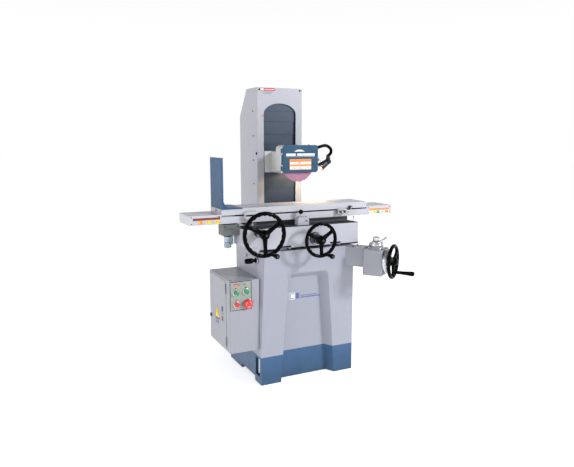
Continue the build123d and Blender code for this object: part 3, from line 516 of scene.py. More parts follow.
def handwheel(name, body, where, radius, rim, spokes, low=-16):
    """Three-spoke wheel with finger scallops round the inside of its rim."""
    piece = Piece(name + "_casting", body, "black_enamel", "black", "screw")
    middle = radius - rim
    around, sides, notches = 176, 18, 22
    rings = []
    for i in range(around):
        u = 2 * math.pi * i / around
        wave = 0.5 + 0.5 * math.cos(notches * u)
        ring = []
        for j in range(sides):
            v = 2 * math.pi * j / sides
            dent = rim * 0.3 * wave * max(0.0, -math.cos(v)) ** 0.7
            r = middle + (rim - dent) * math.cos(v)
            ring.append(piece.bm.verts.new(where @ Vector((r * math.cos(u), r * math.sin(u),
                (rim - 0.4 * dent) * math.sin(v)))))
        rings.append(ring)
    faces = []
    for i in range(around):
        a, b = rings[i], rings[(i + 1) % around]
        for j in range(sides):
            k = (j + 1) % sides
            faces.append(piece.bm.faces.new((a[j], b[j], b[k], a[k])))
    piece._finish(faces, 0, True)
    z_axis = where.to_3x3() @ UP
    for angle in spokes:
        a = math.radians(angle)
        path, radii = [], []
        for k in range(13):
            t = k / 12
            r = 0.014 + (middle - 0.3 * rim - 0.014) * t
            path.append(where @ Vector((r * math.cos(a), r * math.sin(a), 0.003 * (1 - t) ** 2)))
            radii.append(0.0098 + 0.0064 * (1 - t) ** 2.5 + 0.0036 * t ** 5)
        piece.tube(path, radii, 0, 18, 0.78, z_axis)
    base = low / 1000
    piece.lathe(where, [(0.0135, base), (0.0235, base), (0.026, base + 0.0025), (0.026, 0.01),
        (0.0245, 0.0155), (0.0195, 0.0195), (0.0185, 0.0225), (0.0175, 0.0245), (0.0135, 0.0255)], 0, 56)
    piece.lathe(where, pairs(13.5, 23.5, 13.5, 26.2, 12.5, 26.8, 7, 26.8), 0, 40)
    piece.lathe(where, pairs(7, 26.2, 7, 30.2, 6, 31.2, 0, 31.4), 1, 6, False)
    return piece, middle


def grip(name, body, wheel, where, middle, rim, angle, length):
    """Boss and stud on the wheel, and the revolving handle with its swell."""
    a = math.radians(angle)
    r = middle - 0.003
    stud = where @ Matrix.Translation((r * math.cos(a), r * math.sin(a), 0))
    wheel.lathe(stud, [(0.0, 0.0), (0.0095, 0.0), (0.0095, rim + 0.001), (0.0085, rim + 0.0028),
        (0.0055, rim + 0.003)], 0, 32)
    wheel.lathe(stud, [(0.0055, rim + 0.001), (0.0055, rim + 0.006)], 1, 24)
    low = rim + 0.0033
    handle = Piece(name + "_handle", body, "black_bakelite", "bakelite", "screw")
    # radius in mm, and height in mm up to the collar, then in thousandths of the length
    shape = pairs(8, 0, 9.8, 1.2, 10.4, 10, 9.6, 45, 10.1, 300, 12, 600, 13.7, 800, 14, 880, 13.2, 945,
        10.5, 985, 6.2, 1000)
    profile = [(0.0056, low)] + [(q, low + (h if k < 3 else h * length)) for k,
        (q, h) in enumerate(shape)]
    handle.lathe(stud, profile, 0, 40)
    end = low + length
    handle.lathe(stud, [(0.0062, end), (0.0055, end - 0.0008), (0.0045, end - 0.0008), (0.004, end),
        (0.0, end + 0.0002)], 1, 28)
    return handle


def wheel_set(name, body, where, radius, rim, angle, length, spokes=(33, 153, 273), low=-16):
    wheel, middle = handwheel(name, body, where, radius, rim, spokes, low)
    handle = grip(name, body + "_grip", wheel, where, middle, rim, angle, length)
    wheel.build(name + "_handwheel")
    handle.build(name + "_grip")


wheel_set("table", "table_wheel", front(TABLE_X, WHEEL_Y, TABLE_Z), 0.124, 0.012, -72, 0.078)
wheel_set("cross", "cross_wheel", front(CROSS_X, WHEEL_Y, CROSS_Z), 0.1, 0.0105, -70, 0.07)
wheel_set("elevating", "elevating_wheel", lift(243), 0.102, 0.0105, -56, 0.1)


def dial(name, body, where, r, low, high, count, every=5, flange=None):
    """Graduated sleeve with engraved lines, long ones every few."""
    piece = Piece(name, body, "dial_chrome", "chrome", "ink")
    r, low, high = r / 1000, low / 1000, high / 1000
    edge = min(0.0012, (high - low) * 0.15)
    piece.lathe(where, [(r - 0.002, low), (r - edge, low), (r + 0.0004, low + edge),
        (r + 0.0004, high - edge), (r - edge, high), (r - 0.002, high)], 0, 96)
    for k in range(count):
        turned = spun(where, k, count)
        tall = 0.62 if k % every == 0 else 0.36
        wide = 0.00045 if k % every == 0 else 0.0003
        piece.slab(turned, (r + 0.0001, r + 0.0006), (-wide, wide),
            (low + edge, low + (high - low) * tall), 1)
    piece.build()


dial("elevating_dial_scale", "elevating_wheel", lift(0), 70.1, 199.5, 213.5, 100)
dial("cross_dial_scale", "cross_wheel", CROSS_LINE, 34.1, 227, 241, 60)
dial("fine_feed_scale", "machine", FEED_LINE, 41.1, 776, 792, 50)

collars = Piece("shaft_collars", "table_wheel", "steel", "black", "chrome")
collars.lathe(front(TABLE_X, 0, TABLE_Z), pairs(22, 226.2, 24.5, 227.5, 24.5, 262, 21.5, 270, 21.5, 292,
    19.5, 296.5, 12.5, 296.8), 0, 48)
collars.build()
collars = Piece("cross_dial_body", "cross_wheel", "dial_chrome", "dark", "chrome")
collars.lathe(CROSS_LINE, pairs(26.5, 261.8, 34.5, 261.6, 35.2, 260, 35.2, 245.5, 34.5, 243.5), 0, 56)
collars.lathe(CROSS_LINE, pairs(26.2, 261.8, 26.8, 264, 26.8, 293, 25, 297.2, 13, 297.5), 0, 48)
for k in range(30):
    turned = spun(CROSS_LINE, k, 30)
    collars.slab(turned, (0.0264, 0.0275), (-0.0008, 0.0008), (0.265, 0.279), 0)
collars.build()


# ------------ elevating unit
def fine_feed():
    """Knurled hand knob on its graduated flange, and the steel clamp lever."""
    where = FEED_LINE
    knob = Piece("fine_feed_grip", "fine_feed", "dial_chrome", "chrome", "ink")
    flutes, profile = 24, pairs(28.8, 795.5, 29, 796.8, 26.2, 802, 21.5, 806.5, 19.5, 808.2)
    knob.lathe(where, profile, 0, 64)
    rings = []
    for r, h, depth in ((0.0186, 0.808, 0), (0.0196, 0.809, 1), (0.0197, 0.826, 1), (0.0186, 0.8285, 0.6),
            (0.015, 0.829, 0)):
        rings.append([knob.bm.verts.new(where @ Vector((q * math.cos(a), q * math.sin(a), h))) for a,
            q in ((2 * math.pi * k / (flutes * 6),
            r - depth * 0.0011 * (0.5 + 0.5 * math.cos(math.pi * k / 3))) for k in range(flutes * 6))])
    faces = []
    for a, b in zip(rings, rings[1:]):
        for k in range(len(a)):
            j = (k + 1) % len(a)
            faces.append(knob.bm.faces.new((a[k], a[j], b[j], b[k])))
    knob._finish(faces, 0, True)
    knob.lathe(where, pairs(15, 829, 14, 827.5, 6.2, 827.5), 0, 48)
    knob.lathe(where, pairs(6.2, 827.5, 6.2, 828.8, 0, 828.8), 1, 6, False)
    knob.lathe(where, [(0.0059, 0.7725), (0.0059, 0.796)], 0, 24)
    knob.build("fine_feed_knob")
    flange = Piece("fine_feed_flange", "machine", "dial_chrome", "chrome", "screw")
    flange.lathe(where, pairs(41.4, 761.2, 45.5, 761.2, 45.5, 765, 44, 766.5, 41.4, 766.8), 0, 64)
    flange.lathe(where, pairs(30, 795.2, 40.5, 795.2, 41.3, 794.5, 41.3, 792.5), 0, 64)
    for k in range(4):
        turned = spun_deg(where, 45 + 90 * k, 0.0355, 0.7948)
        cap_screw(flange, turned, 0.003, 0.0024, 1, 1)
    flange.build()
    lever = Piece("clamp_lever_bar", "clamp_lever", "steel", "steel", "bakelite")
    pivot = facing(mm(*CORNER, 0) + OUT * 0.15 + SIDE * 0.046, UP, OUT)
    lever.lathe(pivot, pairs(4, 774.5, 4, 790.5, 7.8, 790.6, 8.5, 792, 8.5, 799, 7.2, 800.4, 0, 800.6), 0,
        32)
    arm = pivot @ Matrix.Translation((0, 0, 0.796)) @ Matrix.Rotation(math.radians(50), 4, "Z")
    arm = arm @ Matrix.Rotation(math.radians(66), 4, "Y")
    lever.lathe(arm, pairs(0, 1, 5.2, 2, 4.6, 8, 4.2, 30, 5, 36, 6.2, 43, 5.8, 48, 3.6, 50.5, 0, 51), 0,
        24)
    lever.build("elevating_clamp_lever")


fine_feed()

trim = Piece("elevating_unit_trim", "machine", "machine_paint", "grey", "screw", "ink")
for x in (-0.056, 0.056):
    for y in (-0.066, 0.056):
        cap_screw(trim, lift(197.0) @ Matrix.Translation((x, y, -0.0002)), 0.0045, 0.0035, 1, 2)
for x, y in ((-0.036, 0.062), (0.036, 0.062)):
    top = facing(mm(*CORNER, 766) + OUT * 0.012 + SIDE * x, UP, OUT)
    cap_screw(trim, top, 0.005, 0.0035, 1, 2)
trim.build()


# ------------ labels and plain markings
def cells(piece, where, rects):
    """Thin coloured fields of a plain label: (x0, y0, x1, y1, look, thickness) in mm."""
    for x0, y0, x1, y1, look, thick in rects:
        piece.slab(where, (x0 / 1000, x1 / 1000), (y0 / 1000, y1 / 1000), (-0.0003, thick / 1000), look)


def door_label():
    piece = Piece("door_label", "wheel_door", "guard_blue", "marking", "orange", "red", "yellow", "ink")
    where = front(0, -77, 0)
    cells(piece, where, [(-62, 1216, 78, 1277, 1, 0.25), (-60, 1266, 76, 1275, 1, 0.35),
        (-60, 1262.5, 76, 1266, 2, 0.4), (-60, 1247, 76, 1262, 0, 0.4), (-60, 1236, 76, 1246, 1, 0.4),
        (-60, 1218.5, 76, 1235, 0, 0.4), (-8, 1251, 8, 1259, 2, 0.5), (-3, 1253, 3, 1262, 3, 0.55),
        (-52, 1223, -20, 1224.5, 4, 0.5), (-52, 1228, -26, 1229.5, 4, 0.5),
        (-12, 1223, 22, 1224.5, 4, 0.5), (-12, 1228, 14, 1229.5, 4, 0.5), (32, 1223, 68, 1224.5, 4, 0.5),
        (32, 1228, 60, 1229.5, 4, 0.5), (-50, 1254, -22, 1255.5, 4, 0.5), (20, 1254, 62, 1255.5, 4, 0.5)])
    cells(piece, where, [(-84, 1296, -24, 1309, 0, 0.4), (-14, 1296, 100, 1309, 0, 0.4),
        (-84, 1290, 100, 1291.5, 0, 0.35)])
    piece.polygon(where, pairs(-34, 1320, 36, 1320, 12, 1331, -12, 1331), -0.0003, 0.0004, 0)
    for x in (-0.104, 0.111):
        for z in (1.212, 1.3):
            button_head(piece, where @ Matrix.Translation((x, z, 0)), 0.0032, 0.0016, 4)
    piece.build()


def end_labels():
    piece = Piece("end_cover_labels", "table", "machine_paint", "foil", "dark_red", "yellow", "orange",
        "marking", "green_mark", "ink")
    where = front(0, -140, 0)
    rects = [(-661, 940, -508, 977, 0, 0.25), (-660, 966, -509, 976, 1, 0.4),
        (-660, 963.5, -509, 965.5, 6, 0.4)]
    for k, x in enumerate((-632, -585, -537)):
        rects.append((x, 943, x + 26, 962, 2 if k else 3, 0.45))
        rects.append((x + 4, 947, x + 9, 958, 3 if k else 2, 0.5))
    rects += [(441, 940, 595, 976, 4, 0.25), (442, 966, 594, 975, 3, 0.4), (442, 962, 594, 965, 1, 0.4),
        (448, 943, 470, 959, 4, 0.4), (474, 943, 496, 959, 2, 0.45), (500, 943, 522, 959, 5, 0.45),
        (526, 943, 556, 959, 4, 0.4), (562, 943, 588, 959, 3, 0.45), (452, 947, 466, 949, 6, 0.5),
        (530, 950, 552, 952, 6, 0.5), (530, 946, 546, 947.5, 6, 0.5)]
    cells(piece, where, rects)
    piece.build()


def column_marks():
    piece = Piece("column_labels", "machine", "column_paint", "marking", "red", "ink_blue", "yellow")
    where = front(0, 187, 0)
    cells(piece, where, [(-130, 1677, -34, 1694, 1, 0.3), (-127, 1680, -108, 1691, 0, 0.4),
        (-104, 1684, -40, 1687, 0, 0.4), (-119, 1668, -48, 1671, 2, 0.3),
        (-112, 1660, -58, 1662, 2, 0.3)])
    cells(piece, where, [(-130, 1527.5, -116, 1530.5, 1, 0.3)])
    piece.polygon(where, pairs(-117, 1523.5, -106, 1529, -117, 1534.5), -0.0003, 0.0003, 1)
    piece.build()


def base_plate():
    piece = Piece("base_name_plate", "machine", "machine_paint", "marking", "ink_blue", "foil")
    where = front(0, -145, 0)
    cells(piece, where, [(-96, 467, -62, 508, 0, 0.8), (-92, 471, -66, 475, 1, 1.0),
        (-92, 500, -66, 504, 1, 1.0), (-92, 475, -88, 500, 1, 1.0)])
    cells(piece, where, [(-54, 470, -34, 504, 1, 0.6), (-26, 472, 110, 478, 1, 0.5),
        (-26, 484, 84, 488, 1, 0.5)])
    piece.build()


def cabinet_marks():
    piece = Piece("cabinet_signs", "cabinet_leaf", "cabinet_paint", "yellow", "ink", "ink_blue",
        "dark_red")
    where = left_side(-477.5, 0, 0)
    piece.polygon(where, pairs(-70, 366, 6, 366, -32, 445), -0.0002, 0.0003, 1)
    piece.polygon(where, pairs(-64.5, 369.5, 0.5, 369.5, -32, 437.5), -0.0002, 0.0005, 0)
    bolt = pairs(-30, 420, -38, 396, -32, 397, -36, 375, -26, 402, -32, 401)
    piece.polygon(where, bolt[:3] + [bolt[5]], 0.0002, 0.0007, 1)
    piece.polygon(where, [bolt[2], bolt[3], bolt[4], bolt[5]], 0.0002, 0.0007, 1)
    cells(piece, where, [(-62, 334, -8, 364, 2, 0.4), (-57, 350, -14, 353, 0, 0.5),
        (-57, 342, -24, 344, 0, 0.5)])
    cells(piece, where, [(45, 368, 71, 456, 2, 0.35), (49, 372, 67, 392, 3, 0.5),
        (49, 398, 67, 402, 0, 0.5), (49, 408, 67, 411, 0, 0.5), (49, 418, 62, 421, 0, 0.5),
        (49, 430, 67, 450, 1, 0.5)])
    piece.build()


door_label()
end_labels()
column_marks()
base_plate()
cabinet_marks()


# ------------ stops, oiler and lubricator
def knurled(piece, where, r, low, high, look=0, ridges=28):
    """Thumb screw head with straight knurling and eased ends."""
    edge = min(0.0012, (high - low) * 0.2)
    piece.lathe(where, [(0.0, low), (r - edge, low), (r, low + edge), (r, high - edge), (r - edge, high),
        (0.0, high)], look, 40)
    for k in range(ridges):
        turned = spun(where, k, ridges)
        piece.slab(turned, (r - 0.0005, r + 0.0004), (-0.0004, 0.0004), (low + edge, high - edge), look)


def stops():
    """Clamp screws of the trip dogs, the stop block's screws and the ball plunger."""
    left = Piece("left_dog_clamp", "left_dog", "black_bakelite", "bakelite", "screw")
    cap_screw(left, front(-312, -168, 962), 0.0036, 0.003, 1, 1)
    left.slab(front(-340, -168.3, 979), (-0.03, 0.03), (-0.004, 0.004), (0.0, 0.0035), 0, 0.0008)
    left.build()
    right = Piece("right_dog_clamp", "right_dog", "screw_steel", "screw", "chrome", "bakelite")
    for x in (232, 258):
        knurled(right, front(x, -166, 968), 0.0076, 0.0002, 0.0155)
    right.lathe(front(303, -144, 992), pairs(0, 0, 8.4, 0.4, 9, 2, 9, 18, 8, 20.4, 0, 20.6), 0, 32)
    right.lathe(front(303, -164.5, 992), pairs(4.5, 0, 4.5, 1.2, 0, 1.4), 1, 24)
    right.build()
    pin = Piece("plunger_ball", "plunger", "black_bakelite", "bakelite", "chrome")
    where = facing(mm(-40, -176, 0), UP, (1, 0, 0))
    pin.lathe(where, pairs(0, 932.2, 4.2, 932.2, 4.9, 933, 4.9, 972), 1, 32)
    ball = [(0.0049, 0.9715), (0.0072, 0.9716)]
    arc = [math.radians(t) for t in range(38, 176, 8)]
    ball += [(0.0134 * math.sin(a), 0.984 - 0.0134 * math.cos(a)) for a in arc]
    pin.lathe(where, [*ball, (0.0, 0.9974)], 0, 48)
    pin.build("stop_plunger")
    block = Piece("stop_block_screws", "saddle", "screw_steel", "screw", "steel", "chrome")
    for x in (-56, -8):
        cap_screw(block, facing(mm(x, -176, 954.8), UP), 0.0042, 0.0028, 0, 0)
    cap_screw(block, front(-15, -203, 935), 0.004, 0.003, 0, 0)
    top = facing(mm(-40, -176, 954.8), UP)
    block.lathe(top, pairs(5.6, 0, 8.8, 0, 8.8, 1.8, 7.8, 2.8, 5.6, 3), 2, 6, False)
    post = facing(mm(302, -190, 0), UP)
    block.lathe(post, pairs(2.4, 910.6, 5, 910.6, 5, 913, 2.4, 913.4), 1, 24)
    block.lathe(post, pairs(2.2, 934, 3.8, 934.5, 4, 938.5, 3, 939.8, 0, 940), 0, 24)
    block.build()


def oil_pump():
    """Turned pull grip, pump flange with its screws, and the domed sight glass."""
    line = left_side(0, -145, 721)
    pull = Piece("oil_pump_grip", "oil_pump_handle", "black_bakelite", "bakelite", "chrome")
    pull.lathe(line, pairs(0, 290.5, 3.9, 290.5, 3.9, 308.5), 1, 24)
    pull.lathe(line, pairs(3.9, 308.2, 8.5, 308.4, 9.8, 310, 9.8, 319, 8.8, 321, 9.2, 323, 13.8, 325,
        14.9, 329, 15, 350, 14.6, 362, 13.2, 368, 10, 371.2, 0, 371.9), 0, 48)
    for k in range(18):
        turned = spun(line, k, 18)
        pull.slab(turned, (0.0142, 0.01495), (-0.0009, 0.0009), (0.331, 0.356), 0, 0.0003)
    pull.build("oiler_grip")
    body = Piece("oil_pump_flange", "machine", "steel", "steel", "screw", "chrome")
    body.lathe(line, pairs(4.2, 306, 17, 306, 19.2, 305, 19.5, 303.5, 19.5, 300), 0, 48)
    for k in range(3):
        turned = spun_deg(line, 30 + 120 * k, 0.014, 0.3058)
        cap_screw(body, turned, 0.0026, 0.0018, 1, 1)
    body.build()
    glass = Piece("oil_sight_glass", "machine", "clear_bowl", "glass", "chrome", "oil")
    eye = left_side(0, 5, 726)
    glass.lathe(eye, pairs(0, 309.8, 4.5, 309.6, 6, 308.8, 6, 308), 0, 32)
    glass.lathe(eye, pairs(6, 307.6, 6.4, 309.8, 8.6, 309.6, 10.5, 307, 11, 300.4), 1, 6, False)
    glass.lathe(eye, [(0.0, 0.3086), (0.0054, 0.3084)], 2, 32)
    glass.build()


def lubricator():
    """Bracket screws and filler cap, and each bowl's ring, oil and centre tube."""
    piece = Piece("lubricator_fittings", "saddle", "screw_steel", "screw", "bakelite", "chrome", "oil",
        "alloy")
    for x, y, low in ((-455, -103, 800), (-424, -48, 806)):
        bowl = facing(mm(x, y, 0), UP, (1, 0, 0))
        low /= 1000
        piece.lathe(bowl, pairs(21.4, 871.2, 22.8, 870.5, 22.8, 864, 21.4, 862.8), 1, 48)
        piece.lathe(bowl, [(0.0, low + 0.0046), (0.0168, low + 0.0046), (0.017, low + 0.006),
            (0.017, low + 0.029), (0.0, low + 0.029)], 3, 40)
        piece.lathe(bowl, [(0.003, 0.8685), (0.003, low + 0.03)], 2, 20)
        piece.lathe(bowl, [(0.0, low - 0.005), (0.005, low - 0.0046), (0.0058, low - 0.003),
            (0.0058, low + 0.0003), (0.0, low + 0.0003)], 1, 6, False)
    for x, y in ((-482, -132), (-412, -132), (-482, -74), (-412, -74)):
        cap_screw(piece, facing(mm(x, y, 931.8), UP), 0.004, 0.0032, 0, 0)
    cap = facing(mm(-447, -103, 931.6), UP)
    piece.lathe(cap, pairs(16, 0, 16, 2, 12, 2.4, 12, 4.4, 10.5, 5.2, 0, 5.2), 2, 40)
    for x in (-484, -411):
        cap_screw(piece, front(x, -145, 922), 0.0036, 0.0028, 0, 0)
    piece.lathe(front(-447, -145, 900), pairs(10.5, 0, 10.5, 1.8, 8.5, 2.6, 0, 2.6), 4, 6, False)
    piece.build()


stops()
oil_pump()
lubricator()


# ------------ fasteners and small fittings
def column_fittings():
    """Screws of the cover and the pressed hoods over its rear louvres."""
    screws = Piece("cover_screws", "machine", "screw_steel", "bakelite", "screw")
    for y, z in ((250, 1559), (247, 1411), (245, 1264), (243, 1119), (240, 988)):
        for sign in (-1, 1):
            button_head(screws, facing(mm(sign * 151.8, y, z), (sign, 0, 0)), 0.0052, 0.0032, 0)
    for x in (-136, 136):
        button_head(screws, front(x, 187.1, 1684), 0.0058, 0.0034, 0)
    plug = left_side(-151.8, 196, 1305)
    screws.lathe(plug, pairs(0, 0, 8.5, 0, 8.5, 3, 7, 4, 0, 4.2), 0, 32)
    screws.build("column_screws")
    hoods = Piece("louvre_hoods", "machine", "column_paint", "light")
    for x in (-55, 55):
        for k in range(12):
            where = facing(mm(x, 467, 900 + 30 * k), (0, 1, 0), (1, 0, 0))
            top = pairs(-43, -7, 43, -7, 40, 4.5, -40, 4.5)
            hoods.polygon(where, top, 0.0, 0.0012)
            hoods.slab(where, (-0.0405, 0.0405), (-0.004, 0.004), (0.0005, 0.007), 0, 0.0022)
    hoods.build()


def head_fittings():
    """Guard and head screws, the door's hinge pins and its clamp knob, and the nose of the spindle."""
    knob = Piece("door_knob_head", "door_knob", "dial_chrome", "chrome", "screw")
    line = facing(mm(0, -62, 1270), (1, 0, 0), (0, -1, 0))
    knob.lathe(line, pairs(0, 112, 3.9, 112.5, 3.9, 124.2, 7, 124.4, 7.2, 133, 10, 134), 0, 32)
    knob.lathe(line, pairs(10, 133.8, 10.4, 135, 10.4, 157, 9.6, 158.8, 5, 159.8, 0, 159.9), 0, 48)
    for k in range(30):
        turned = spun(line, k, 30)
        knob.slab(turned, (0.01, 0.0109), (-0.0005, 0.0005), (0.1365, 0.1555), 0)
    knob.build("door_clamp_knob")
    piece = Piece("head_screws", "head", "screw_steel", "screw", "bakelite", "chrome")
    for x in (-80, 0, 80):
        cap_screw(piece, facing(mm(x, -40, 1356.9), UP), 0.0042, 0.0032, 0, 0)
    for y in (40, 140):
        for x in (-38, 38):
            cap_screw(piece, facing(mm(x, y, 1318.9), UP), 0.0055, 0.0042, 0, 0)
    for z in (1210, 1298):
        for sign in (-1, 1):
            button_head(piece, facing(mm(sign * 103.9, 200, z), (sign, 0, 0)), 0.0042, 0.0026, 1)
    for z in (1225, 1325):
        for low, high in ((20.0, 22.0), (-22.0, -20.0)):
            hinge = facing(mm(-114.5, -79, z), UP, (1, 0, 0))
            piece.lathe(hinge, [(0.0, low / 1000), (0.0036, low / 1000), (0.0036, high / 1000),
                (0.0, high / 1000)], 2, 20)
    piece.build()
    nose = Piece("spindle_nose", "wheel_spindle", "steel", "steel", "screw", "marking", "ink_blue")
    axis = front(0, 0, 1248)
    nose.lathe(axis, pairs(40.2, 60, 40.2, 60.4, 15, 60.6), 2, 56)
    nose.lathe(axis, pairs(19, 66, 19, 68.8, 17.8, 69.4, 14.2, 69.4), 0, 6, False)
    nose.lathe(axis, pairs(36, 66.1, 37.2, 65.9, 38.1, 65.2), 0, 56)
    for k in range(3):
        turned = spun_deg(axis, 120 * k, 0.029, 0.0659)
        cap_screw(nose, turned, 0.0032, 0.002, 1, 1)
    nose.build()


def table_fittings():
    """Screws of the end covers and the splash guard, the saddle's gib screws and the wiping strips over its
    rails, and a painted shadow strip along the saddle's lower front edge.
    """
    piece = Piece("table_screws", "table", "screw_steel", "screw", "bakelite")
    for x in (-515, 440):
        for z in (948, 980):
            button_head(piece, front(x, -140, z), 0.0034, 0.0018, 0)
    for x in (-668, 596):
        for z in (947, 981):
            button_head(piece, front(x, -140, z), 0.003, 0.0016, 0)
    piece.build()
    gibs = Piece("saddle_gib_screws_wipers_and_painted_shadow", "saddle", "screw_steel", "screw", "bakelite")
    for y in (-170, -90, -10, 60):
        cap_screw(gibs, facing(mm(316, y, 830), (1, 0, 0)), 0.0046, 0.003, 0, 0)
    saddle_front_frame = front(0, -225, 0)
    # Painted shadow: a black strip along the saddle's lower front edge, in three pieces clear of the rails,
    # stands in for the shade of the gap above the base.
    for low, high in ((-0.318, -0.192), (-0.128, 0.128), (0.192, 0.314)):
        gibs.slab(saddle_front_frame, (low, high), (0.7845, 0.7925), (-0.001, 0.002), 1, 0.0006)
    for low, high in ((-0.196, -0.124), (0.124, 0.196)):
        gibs.slab(saddle_front_frame, (low, high), (0.7968, 0.8045), (-0.001, 0.002), 1, 0.0006)
    gibs.build()


def cabinet_fittings():
    """Quarter-turn latch, hinge pins and corner screws of the cabinet."""
    latch = Piece("cabinet_latch_knob", "latch", "black_bakelite", "bakelite", "chrome", "steel")
    where = left_side(0, 140, 353)
    latch.lathe(where, pairs(7.8, 474.5, 8, 480, 11, 480.2, 11.2, 482.2, 10.5, 483.8, 0, 483.9), 0, 40)
    latch.slab(where, (-0.0085, 0.0085), (-0.0013, 0.0013), (0.4836, 0.4842), 1)
    latch.slab(where, (-0.006, 0.006), (-0.023, 0.006), (0.47, 0.472), 2, 0.0005)
    latch.lathe(where, pairs(0, 470.2, 7.2, 470.2, 7.2, 476), 2, 6, False)
    latch.build("cabinet_latch")
    pins = Piece("cabinet_pins", "machine", "screw_steel", "chrome", "screw", "bakelite")
    for low, high in ((239, 291), (544, 596)):
        pin = facing(mm(-480, -118, 0), UP, (1, 0, 0))
        for z in (low - 2.4, high - 0.6):
            pins.lathe(pin, [(0.0, z / 1000), (0.0034, z / 1000), (0.0036, (z + 1.5) / 1000),
                (0.0034, (z + 3) / 1000), (0.0, (z + 3) / 1000)], 0, 24)
    for y in (-150, 150):
        for x in (-460, -318):
            button_head(pins, facing(mm(x, y, 622.9), UP), 0.0042, 0.0022, 1)
    pins.build()


column_fittings()
head_fittings()
table_fittings()
cabinet_fittings()


# ------------ controls
PANEL_Y = -179
EMERGENCY = (-374, PANEL_Y, 492)
# piece, body, CAD node, slot, look, x, z
BUTTONS = (
    ("start_cap", "start", "start_button", "button_green", "green", -441, 558),
    ("table_cap", "table_start", "table_button", "button_green", "green", -382, 560),
    ("stop_cap", "stop", "stop_button", "button_red", "red_cap", -438, 493),
)


def controls():
    """Panel border, legend plate, button collars and the plain marks above them."""
    where = front(0, -181, 0)
    piece = Piece("control_panel_trim", "machine", "panel_beige", "ink", "chrome", "red", "marking",
        "panel")
    x0, x1, y0, y1, w = -0.4752, -0.3478, 0.4578, 0.6212, 0.0035
    for a, b, c, d in ((x0, x1, y0, y0 + w), (x0, x1, y1 - w, y1), (x0, x0 + w, y0, y1),
            (x1 - w, x1, y0, y1)):
        piece.slab(where, (a, b), (c, d), (-0.001, 0.0006), 0, 0.0003)
    cells(piece, where, [(-452, 597, -424, 609, 2, 0.6), (-448, 601, -430, 603, 3, 0.8),
        (-399, 601, -380, 604, 0, 0.4)])
    for *_, cap_look, x, button_z in BUTTONS:
        z, look = button_z + 25, 2 if cap_look == "red_cap" else 0
        cells(piece, where, [(x - 5, z - 1.5, x + 5, z + 1.5, look, 0.4),
            (x - 1.5, z - 4, x + 1.5, z + 4, look, 0.4)])
    for *_, x, z in BUTTONS:
        ring = front(x, PANEL_Y, z)
        piece.lathe(ring, pairs(12.8, 6.2, 17.2, 6.6, 18.6, 5.6, 19, 3, 19, 1.8), 1, 40)
    ring = front(*EMERGENCY)
    piece.lathe(ring, pairs(12.5, 6.2, 18.5, 6.4, 19.7, 5, 20, 1.8), 0, 40)
    for k in range(24):
        a = math.radians(25 + 130 * k / 23)
        turned = front(-374, -181, 492) @ Matrix.Rotation(a, 4, "Z")
        piece.slab(turned, (0.029, 0.0325), (-0.0019, 0.0019), (-0.0003, 0.0004), 3)
    for x, z in ((-470, 463), (-353, 463), (-470, 616), (-353, 616)):
        button_head(piece, front(x, -181, z), 0.0026, 0.0014, 1)
    piece.build()
    for name, body, node, slot, look, x, z in BUTTONS:
        cap = Piece(name, body, slot, look, "chrome")
        ring = front(x, PANEL_Y, z)
        cap.lathe(ring, pairs(0, 16.2, 8.5, 16, 11.2, 15.2, 12.4, 16.8, 13.8, 17, 14.8, 16, 15, 14.5, 15,
            11.2, 11, 11, 11, -13.8, 0, -13.8), 0, 48)
        cap.build(node)
    cap = Piece("emergency_cap", "emergency", "button_red", "red_cap", "marking", "dark_red")
    ring = front(*EMERGENCY)
    cap.lathe(ring, pairs(0, 27.8, 12, 27.6, 21.5, 26.2, 26.2, 23.2, 28, 20, 27.6, 17.6, 24.8, 17, 16.5,
        16.8, 15, 15, 15, 13.2, 11.2, 13, 11, -15.8, 0, -15.8), 0, 64)
    for k in range(3):
        for step in range(9):
            a = math.radians(120 * k + 8 * step)
            turned = ring @ Matrix.Rotation(a, 4, "Z")
            cap.slab(turned, (0.015, 0.0168), (-0.0014, 0.0014), (0.0262, 0.0276), 1)
    cap.build("emergency_stop")


controls()


